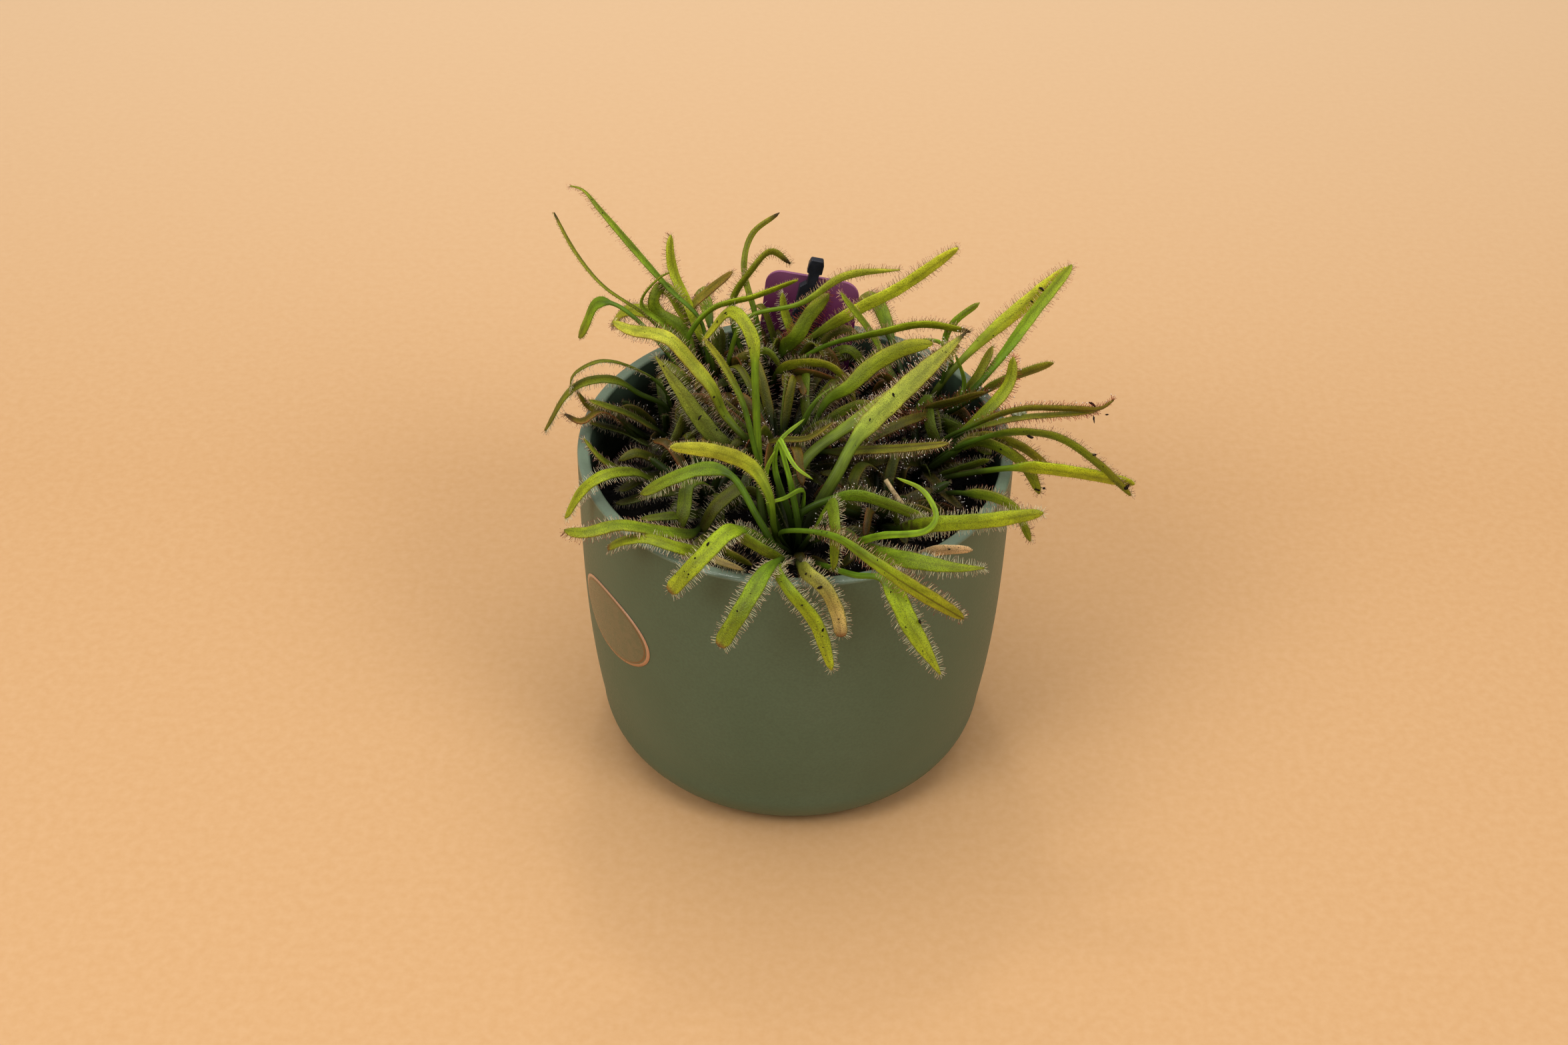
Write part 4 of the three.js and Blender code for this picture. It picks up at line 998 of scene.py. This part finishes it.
def leaf_material():
    g = Graph("sundew_leaf")
    tint = g.values("tone")["Color"]
    place = g.values("leaf_place")["Vector"]
    opening, line, specks = g.axes(g.values("leaf_kind")["Vector"])
    # Broad patches of lighter and darker green, longer than wide.
    patches = g.noise(g.scaled(place, 0.55, 0.22, 1), 1.0, 3.0, 0.6)
    tint = g.blend("MULTIPLY", 0.9, tint, g.between(patches, 0.7, 1.25))
    # Streaks along the stalk.
    streaks = g.noise(g.scaled(place, 5.0, 0.12, 1), 1.0, 2.0)
    smooth = g.times(g.math("SUBTRACT", 1.0, opening), 0.7)
    tint = g.blend("MULTIPLY", smooth, tint, g.between(streaks, 0.7, 1.25))
    # The blade's fine grain.
    grain = g.noise(place, 4.6, 2.0, 0.6)
    tint = g.blend("MULTIPLY", g.times(opening, 0.9), tint, g.ramp(grain, (0.35, 0.78), (0.65, 1.2)))
    # Small dark glands in loose rows, thicker on the blade than on the stalk.
    cells = g.add("TexVoronoi", Vector=g.scaled(place, 2.7, 2.2, 1), Scale=1.0, Randomness=0.75)
    glands = cells.outputs["Distance"]
    dot = g.ramp(glands, (0.16, 1.0), (0.32, 0.0))
    dots = g.times(dot, g.times(opening, g.ramp(patches, (0.35, 0.45), (0.65, 0.9))))
    tint = g.blend("MIX", dots, tint, "4a5616")
    # A darker line along the midrib.
    from_middle = g.math("ABSOLUTE", g.axes(place)[0])
    tint = g.blend("MIX", g.times(line, g.ramp(from_middle, (0.1, 1.0), (0.3, 0.0))), tint, "503818")
    # Crumbs of peat that stick to some blades.
    crumbs = g.noise(g.scaled(place, 1.0, 0.8, 1), 1.3, 3.0, 0.65)
    tint = g.blend("MIX", g.times(g.ramp(crumbs, (0.68, 0.0), (0.71, 1.0)), specks), tint, "1d150d")
    relief = g.plus(g.times(glands, 0.6), g.times(grain, 0.3))
    g.bump(g.times(relief, g.plus(opening, 0.08)), 0.00016, 0.7)
    return g.finish(Base_Color=tint, Roughness=g.between(patches, 0.42, 0.56), Specular_IOR_Level=0.36)


def tentacle_material():
    g = Graph("sundew_tentacle")
    tone = g.values("tone")["Color"]
    vary = g.noise(g.on_object(), 900.0, 1.0)
    tint = g.blend("MULTIPLY", 0.5, tone, g.between(vary, 0.8, 1.15))
    return g.finish(Base_Color=tint, Roughness=0.4, Specular_IOR_Level=0.35)


def dew_material():
    g = Graph("sundew_dew")
    rough = g.between(g.noise(g.on_object(), 1500.0, 1.0), 0.02, 0.08)
    # Painted highlight: the drops are milky white rather than clear, so they show as bright glints.
    return g.finish(Base_Color=(1, 0.98, 0.95, 1), Roughness=rough, IOR=1.35, Transmission_Weight=0.3)


def pot_material():
    g = Graph("matte_sage")
    place = g.on_object()
    fine = g.noise(place, 1400.0, 2.0, 0.6)
    broad = g.noise(place, 28.0, 4.0, 0.55)
    tint = g.blend("MULTIPLY", 0.5, g.between(broad, "576c58", "5f7360"), g.between(fine, 0.8, 1.15))
    # Inside, painted shade darkens the wall from just under the rim down to the soil.
    depth, lip, _ = g.axes(g.values("wear")["Vector"])
    inner_shade_depth = g.plus(depth, g.times(g.noise(place, 160.0, 3.0), 5.0))
    inner_shade_share = g.add("MapRange", Value=inner_shade_depth, From_Min=3.5, From_Max=12.0, To_Max=0.85).outputs[0]
    tint = g.blend("MIX", inner_shade_share, tint, "17150e")
    g.bump(g.plus(g.times(fine, 0.5), g.times(broad, 0.5)), 0.00018, 0.5)
    # The rim is polished smooth, and a painted highlight makes it paler.
    tint = g.blend("MIX", g.times(lip, 0.35), tint, "a4b0a0")
    rough = g.blend("MIX", lip, g.between(fine, 0.38, 0.5), 0.2)
    return g.finish(Base_Color=tint, Roughness=rough, Specular_IOR_Level=0.5)


def soil_material():
    g = Graph("peat")
    place = g.on_object()
    crumbs = g.add("TexVoronoi", Vector=place, Scale=700.0).outputs["Distance"]
    broad = g.noise(place, 120.0, 4.0, 0.7)
    # Peat is dark, and its colours are made darker still, near black, as painted shade in the deep gaps under
    # the leaves.
    tint = g.ramp(broad, (0.3, "070503"), (0.6, "120d08"), (0.85, "2a1e13"))
    tint = g.blend("MULTIPLY", 0.6, tint, g.ramp(crumbs, (0.0, 1.3), (0.7, 0.5)))
    g.bump(g.math("SUBTRACT", broad, g.times(crumbs, 0.6)), 0.0012, 0.9)
    return g.finish(Base_Color=tint, Roughness=0.9, Specular_IOR_Level=0.3)


def tag_material():
    g = Graph("purple_plastic")
    place = g.on_object()
    # Painted shade: the tag is darker towards its foot among the leaves and paler towards its top.
    level = g.plus(g.times(g.noise(place, 110.0, 3.0), 0.004), g.axes(place)[2])
    share = g.add("MapRange", Value=level, From_Min=0.022, From_Max=0.05).outputs[0]
    tint = g.ramp(share, (0.0, "5c1e4c"), (0.45, "883a70"), (1.0, "a06a90"))
    fine = g.noise(place, 1600.0, 2.0)
    g.bump(fine, 0.0001, 0.4)
    return g.finish(Base_Color=tint, Roughness=g.between(fine, 0.3, 0.42), Specular_IOR_Level=0.5)


def pick_material():
    g = Graph("black_plastic")
    place = g.on_object()
    soft = g.noise(place, 260.0, 3.0)
    g.bump(g.noise(place, 1500.0, 2.0), 0.0001, 0.5)
    return g.finish(Base_Color=g.between(soft, "22242c", "343844"), Roughness=g.between(soft, 0.32, 0.5))


def sticker_material():
    g = Graph("oval_label")
    ring = g.axes(g.values("ring")["Vector"])[0]
    pale = g.ramp(ring, (0.0, 0.0), (0.935, 0.0), (0.945, 1.0), (1.0, 1.0))
    brown = g.ramp(ring, (0.0, 0.0), (0.88, 0.0), (0.89, 1.0), (0.91, 1.0), (0.92, 0.0))
    mottle = g.noise(g.on_object(), 500.0, 3.0)
    tint = g.blend("MIX", pale, g.ramp(mottle, (0.35, "696c52"), (0.65, "787258")), "c49a7c")
    tint = g.blend("MIX", brown, tint, "7c5c38")
    return g.finish(Base_Color=tint, Roughness=g.between(mottle, 0.22, 0.34), Specular_IOR_Level=0.6)


def floor_material():
    g = Graph("pale_paper")
    place = g.on_object()
    fine = g.noise(place, 420.0, 3.0)
    # Painted light: the floor is paler further back, where more light falls.
    far = g.add("MapRange", Value=g.axes(place)[1], From_Min=0.1, From_Max=0.6).outputs[0]
    tint = g.blend("MIX", far, g.between(fine, "dab285", "deb88d"), "f8dcba")
    g.bump(fine, 0.0002, 0.2)
    return g.finish(Base_Color=tint, Roughness=0.75, Specular_IOR_Level=0.25)


def speckled_material(name, scale, detail, low, high, roughness, specular, bumps=None):
    """A rough stuff that varies between two colours."""
    g = Graph(name)
    soft = g.noise(g.on_object(), scale, detail)
    if bumps:
        g.bump(soft, *bumps)
    return g.finish(Base_Color=g.between(soft, low, high), Roughness=roughness, Specular_IOR_Level=specular)


# ---------------------------------------------------------------- pot, soil, sticker


def wall_radius(height):
    rise = 1 - (1 - np.asarray(height) / POT_HEIGHT) ** FLARE_POWER
    return BASE_RADIUS + (RIM_RADIUS - BASE_RADIUS) * rise


def corner_and_wall(inset, floor, corner, top, steps):
    """Radius and height of a quarter round from the floor up into the wall, then the wall to the top."""
    foot = wall_radius(floor + corner) - inset - corner
    turn = np.linspace(0, math.pi / 2, 15)
    quarter = np.stack([foot + corner * np.sin(turn), floor + corner * (1 - np.cos(turn))], 1)
    height = np.linspace(floor + corner, top, steps + 1)[1:]
    return np.vstack([quarter, np.stack([wall_radius(height) - inset, height], 1)])


def rounded(centre, radius, start, end, steps=5):
    turn = np.radians(np.linspace(start, end, steps))
    return np.stack([centre[0] + radius * np.cos(turn), centre[1] + radius * np.sin(turn)], 1)


def build_pot(material):
    shoulder = POT_HEIGHT - RIM_ROUNDING
    outside = corner_and_wall(0, 0, CORNER_RADIUS, shoulder, 16)
    inside = corner_and_wall(WALL, FLOOR, CORNER_RADIUS - WALL, shoulder, 10)[::-1]
    outer_lip = rounded((RIM_RADIUS - RIM_ROUNDING, shoulder), RIM_ROUNDING, 15, 90)
    inner_lip = rounded((RIM_RADIUS - WALL + RIM_ROUNDING, shoulder), RIM_ROUNDING, 90, 165)
    radius, height = np.vstack([outside, outer_lip, inner_lip, inside]).T
    # How deep each point lies inside under the rim, for the painted shade there, and which points make the
    # lip.
    depth = np.where(np.arange(len(height)) >= len(height) - len(inside), shoulder - height, 0)
    lip = (height > shoulder).astype(float)
    wear = np.repeat(np.stack([depth, lip, 0 * depth], 1), POT_SECTORS, axis=0)
    surface = Surface()
    surface.add_body(spun(radius, height, POT_SECTORS), [0, 0, 0], [0, 0, FLOOR], wear=with_ends(wear))
    made = surface.make("pot_body", material)
    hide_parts("pot")


def ripples(x, y):
    """Smooth random height over the plane: a sum of sine waves of shorter and shorter lengths."""
    rng = np.random.default_rng(RIPPLE_SEED)
    shortest, longest = RIPPLE_LENGTHS
    total = np.zeros_like(x)
    for wavelength in np.geomspace(longest, shortest, RIPPLE_WAVES):
        angle, phase = rng.uniform(0, 2 * math.pi, 2)
        k = 2 * math.pi / wavelength
        wave = np.sin(k * (x * math.cos(angle) + y * math.sin(angle)) + phase)
        total += wave * (wavelength / longest) ** 0.6
    return total / math.sqrt(RIPPLE_WAVES)


def soil_height(x, y):
    edge = wall_radius(SOIL_EDGE) - WALL - SOIL_GAP
    sink = smoothstep(np.hypot(x, y), MOUND_RADIUS, edge)
    level = mix(SOIL_TOP - 0.4, SOIL_EDGE, sink)
    return level + (RIPPLE_HEIGHT * ripples(x, y)) * (1 - 0.6 * sink)


def build_soil(material, rng):
    inset = WALL + SOIL_GAP
    foot = FLOOR + GAP
    edge = wall_radius(SOIL_EDGE) - inset
    side = corner_and_wall(inset, foot, CORNER_RADIUS - inset, SOIL_EDGE - 1, 8)
    below = spun(side[:, 0], side[:, 1], SOIL_SECTORS)
    radius = np.linspace(edge, 0.6, SOIL_RINGS)
    x, y, _ = np.moveaxis(spun(radius, radius, SOIL_SECTORS), -1, 0)
    top = np.stack([x, y, soil_height(x, y)], -1)
    surface = Surface()
    surface.add_body(np.concatenate([below, top]), [0, 0, foot], [0, 0, top[-1, 0, 2]])
    # Loose crumbs of peat on top.
    r = (edge - 1) * np.sqrt(rng.uniform(0, 1, SOIL_CRUMBS))
    turn = rng.uniform(0, 2 * math.pi, SOIL_CRUMBS)
    x, y = r * np.cos(turn), r * np.sin(turn)
    middles = np.stack([x, y, soil_height(x, y) + 0.1], 1)
    blobs(surface, middles, rng.uniform(*SOIL_CRUMB_RADII, SOIL_CRUMBS), 3, 5)
    made = surface.make("soil_peat", material, smooth=False)
    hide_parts("soil")


def build_sticker(material):
    around, rings = STICKER_SECTORS, STICKER_RINGS
    ring = np.linspace(1, 0.1, rings)[:, None]
    angle = np.arange(around) / around * 2 * math.pi
    across = ring * STICKER_SIZE[0] / 2 * np.cos(angle)
    height = STICKER_HEIGHT + ring * STICKER_SIZE[1] / 2 * np.sin(angle)
    turn = STICKER_ANGLE + across / wall_radius(height)
    layers = []
    for lift in (STICKER_THICKNESS - STICKER_BEVEL * (ring == 1), STICKER_BACK):
        radius = wall_radius(height) + lift
        layers.append(stacked(radius * np.sin(turn), -radius * np.cos(turn), height).reshape(-1, 3))
    size = rings * around
    outer = np.arange(around)
    after = np.roll(outer, -1)
    middle = outer + (rings - 1) * around
    inner = np.stack([np.full(around - 2, middle[0]), middle[1:-1], middle[2:]], 1)
    faces = np.concatenate([
        grid_faces(rings, around),
        grid_faces(rings, around)[:, ::-1] + size,
        np.stack([outer, outer + size, after + size], 1),
        np.stack([outer, after + size, after], 1),
        inner,
        inner[:, [0, 2, 1]] + size,
    ])
    share = np.broadcast_to(ring, (rings, around)).reshape(-1, 1)
    surface = Surface()
    surface.add(np.vstack(layers), faces, ring=np.tile(share, (2, 3)))
    made = surface.make("sticker_oval", material)
    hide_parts("sticker")


# ---------------------------------------------------------------- tag and pick


def plate(name, outline, thickness, bevel, place, material):
    """A flat shape with a rounded edge. The outline is in its own plane, x and height, in millimetres."""
    mesh = bpy.data.meshes.new(name)
    half = thickness / 2
    count = len(outline)
    vertices = [(x * MM, side * half * MM, z * MM) for side in (-1, 1) for x, z in outline]
    faces = [tuple(range(count)), tuple(range(2 * count - 1, count - 1, -1))]
    for i in range(count):
        j = (i + 1) % count
        faces.append((j, i, i + count, j + count))
    mesh.from_pydata(vertices, [], faces)
    mesh.materials.append(material)
    made = link(name, mesh)
    made.matrix_world = place
    rounding = made.modifiers.new("edge", "BEVEL")
    rounding.width = bevel * MM
    rounding.segments = 3
    rounding.limit_method = "ANGLE"
    for polygon in mesh.polygons:
        polygon.use_smooth = True
    made.modifiers.new("normals", "WEIGHTED_NORMAL").keep_sharp = True
    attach(made, "root")
    return made


def marker_foot(at):
    return Matrix.Translation((at[0] * MM, at[1] * MM, MARKER_FOOT * MM))


def build_tag(material):
    half = TAG_WIDTH / 2
    shoulder = TAG_LENGTH - TAG_CORNER
    outline = [(-half, 0), (half, 0)]
    outline += [tuple(p) for p in rounded((half - TAG_CORNER, shoulder), TAG_CORNER, 0, 90, 10)]
    outline += [tuple(p) for p in rounded((-half + TAG_CORNER, shoulder), TAG_CORNER, 90, 180, 10)]
    place = marker_foot(TAG_AT) @ Matrix.Rotation(TAG_YAW, 4, "Z") @ Matrix.Rotation(TAG_LEAN, 4, "Y")
    made = plate("tag_sheet", outline, TAG_THICKNESS, TAG_BEVEL, place, material)
    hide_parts("tag")


def build_pick(material):
    half = PICK_WIDTH / 2
    bar = PICK_LENGTH - PICK_HEAD[1] - PICK_NECK[1]
    neck = PICK_NECK[0] / 2
    head = PICK_HEAD[0] / 2
    notch = [half - depth for depth in (0, PICK_NOTCH, PICK_NOTCH, 0)]
    narrowing, slope = PICK_HEAD_TOP
    right = [
        (half, 0), *((x, bar - under) for x, under in zip(notch, PICK_NOTCH_UNDER)),
        (half, bar - PICK_SHOULDER), (neck, bar), (neck, bar + PICK_NECK[1]), (head, bar + PICK_NECK[1]),
        (head, PICK_LENGTH - slope), (narrowing * head, PICK_LENGTH),
    ]
    outline = right + [(-x, z) for x, z in reversed(right)]
    place = marker_foot(PICK_AT) @ Matrix.Rotation(PICK_LEAN, 4, "Y")
    made = plate("pick_bar", outline, PICK_THICKNESS, PICK_BEVEL, place, material)
    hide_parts("pick")


# ---------------------------------------------------------------- plant


def build_rosette(name, materials, rng, drops, loose):
    """One rosette's leaves and tentacles. Dew and crumbs of peat on them are added to drops and loose."""
    at, phase, young, (fillers, top, reach), rows = ROSETTES[name]
    rows = [
        *rows,
        *(young_leaf(at, phase, number) for number in range(young)),
        *INNER_LEAVES.get(name, []),
        *(filler_leaf(at, phase, number, top, reach, rng) for number in range(fillers)),
    ]
    grown = [Leaf((*at, LEAF_ROOT), rng, *row) for row in rows]
    leaves, tentacles = Surface(), Surface()
    for leaf in grown:
        leaf.add_to(leaves)
        if leaf.tentacle_look:
            add_tentacles(tentacles, leaf, drops)
    loose.extend(leaf.specks_on_back() for leaf in grown)
    body = leaves.make(name + "_leaves", materials["leaf"])
    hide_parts(name)
    hairs = tentacles.make(name + "_tentacles", materials["tentacle"], smooth=False)


def build_dew(drops, material):
    surface = Surface()
    blobs(surface, np.vstack([d[0] for d in drops]), np.concatenate([d[1] for d in drops]), 3, 6)
    made = surface.make("dew_drops", material)


def rod(centre, radius, sectors=8):
    """Rings of a round rod along a midline."""
    tangent = unit(np.gradient(centre, axis=0))
    side = unit(np.cross(tangent, (0, 0, 1)))
    up = np.cross(side, tangent)
    angle = (np.arange(sectors) / sectors * 2 * math.pi)[:, None]
    return centre[:, None] + radius * (side[:, None] * np.cos(angle) + up[:, None] * np.sin(angle))


def build_debris(loose, rng):
    """Crumbs of peat on the leaves, a dry twig across them, and pale grains of perlite."""
    dark, pale, dry = Surface(), Surface(), Surface()
    middles = np.vstack([c[0] for c in loose] + [STRAY_CRUMBS[:, :3]])
    radii = np.concatenate([c[1] for c in loose] + [STRAY_CRUMBS[:, 3]])
    for middle, radius in zip(middles, radii):
        lumpy(dark, middle, radius * CRUMB_SHAPE * rng.uniform(0.8, 1.25, 3), rng)
    for middle, radius in ((PERLITE_AT, 1.5), (PERLITE_AT + (1.6, 0.2, -0.5), 1.1)):
        lumpy(pale, middle, radius * np.array([1.2, 0.9, 0.8]), rng, 8, 12)
    low, high = PERLITE_SPILL
    for middle in rng.uniform(low, high, (PERLITE_GRAINS, 3)):
        lumpy(pale, middle, np.full(3, rng.uniform(*PERLITE_RADII)), rng)
    centre, _ = curve_through(TWIG, 0.8)
    dry.add_body(rod(centre, TWIG_RADIUS), centre[:1], centre[-1:], True)
    peat = speckled_material("peat_crumb", 1800.0, 2.0, "0e0a06", "2b1e12", 0.8, 0.3)
    perlite = speckled_material("perlite", 1200.0, 3.0, "aab493", "e6ead2", 0.6, 0.4, (0.0002, 0.6))
    twig = speckled_material("dry_twig", 900.0, 3.0, "8d7a5c", "cdb991", 0.7, 0.3)
    for surface, name, material in (
        (dark, "peat_crumbs", peat), (pale, "perlite_grains", perlite), (dry, "dry_twig", twig),
    ):
        made = surface.make(name, material)


# ---------------------------------------------------------------- stage


def build_stage():
    mesh = bpy.data.meshes.new("floor")
    corners = [(x * FLOOR_REACH, y * FLOOR_REACH, 0) for x, y in ((-1, -1), (1, -1), (1, 1), (-1, 1))]
    mesh.from_pydata(corners, [], [(0, 1, 2, 3)])
    mesh.materials.append(floor_material())
    floor = link("floor", mesh)


def build_lights():
    world = bpy.data.worlds.new("studio")
    world.use_nodes = True
    background = world.node_tree.nodes["Background"]
    background.inputs["Color"].default_value = WORLD_TINT
    background.inputs["Strength"].default_value = WORLD_STRENGTH
    bpy.context.scene.world = world
    for name, place, target, size, power, tint in LIGHTS:
        data = bpy.data.lights.new(name, "AREA")
        data.shape = "DISK"
        data.size = size
        data.energy = power
        data.color = tint
        made = link(name, data)
        made.location = place
        made.rotation_euler = (Vector(target) - Vector(place)).to_track_quat("-Z", "Y").to_euler()


def build_camera():
    back = Vector((0, -math.cos(CAMERA_ELEVATION), math.sin(CAMERA_ELEVATION)))
    right = Vector((1, 0, 0))
    up = right.cross(-back)
    c, s = math.cos(CAMERA_ROLL), math.sin(CAMERA_ROLL)
    data = bpy.data.cameras.new("camera")
    data.sensor_width = SENSOR
    data.lens = SENSOR * FOCAL_PIXELS / PHOTO_WIDTH
    data.clip_start = 0.01
    made = link("camera", data)
    axes = Matrix((right * c + up * s, up * c - right * s, back)).transposed()
    made.matrix_world = Matrix.LocRotScale(CAMERA_TARGET + back * CAMERA_DISTANCE, axes, None)
    bpy.context.scene.camera = made


# ---------------------------------------------------------------- assembly

build_camera()
build_stage()
build_lights()
bpy.context.scene.view_settings.view_transform = "Standard"
bpy.context.scene.view_settings.gamma = VIEW_GAMMA

rng = np.random.default_rng(SEED)
materials = {"leaf": leaf_material(), "tentacle": tentacle_material()}
build_pot(pot_material())
build_soil(soil_material(), rng)
build_sticker(sticker_material())
build_tag(tag_material())
build_pick(pick_material())
drops, loose = [], []
for name in ROSETTES:
    build_rosette(name, materials, rng, drops, loose)
build_dew(drops, dew_material())
build_debris(loose, rng)
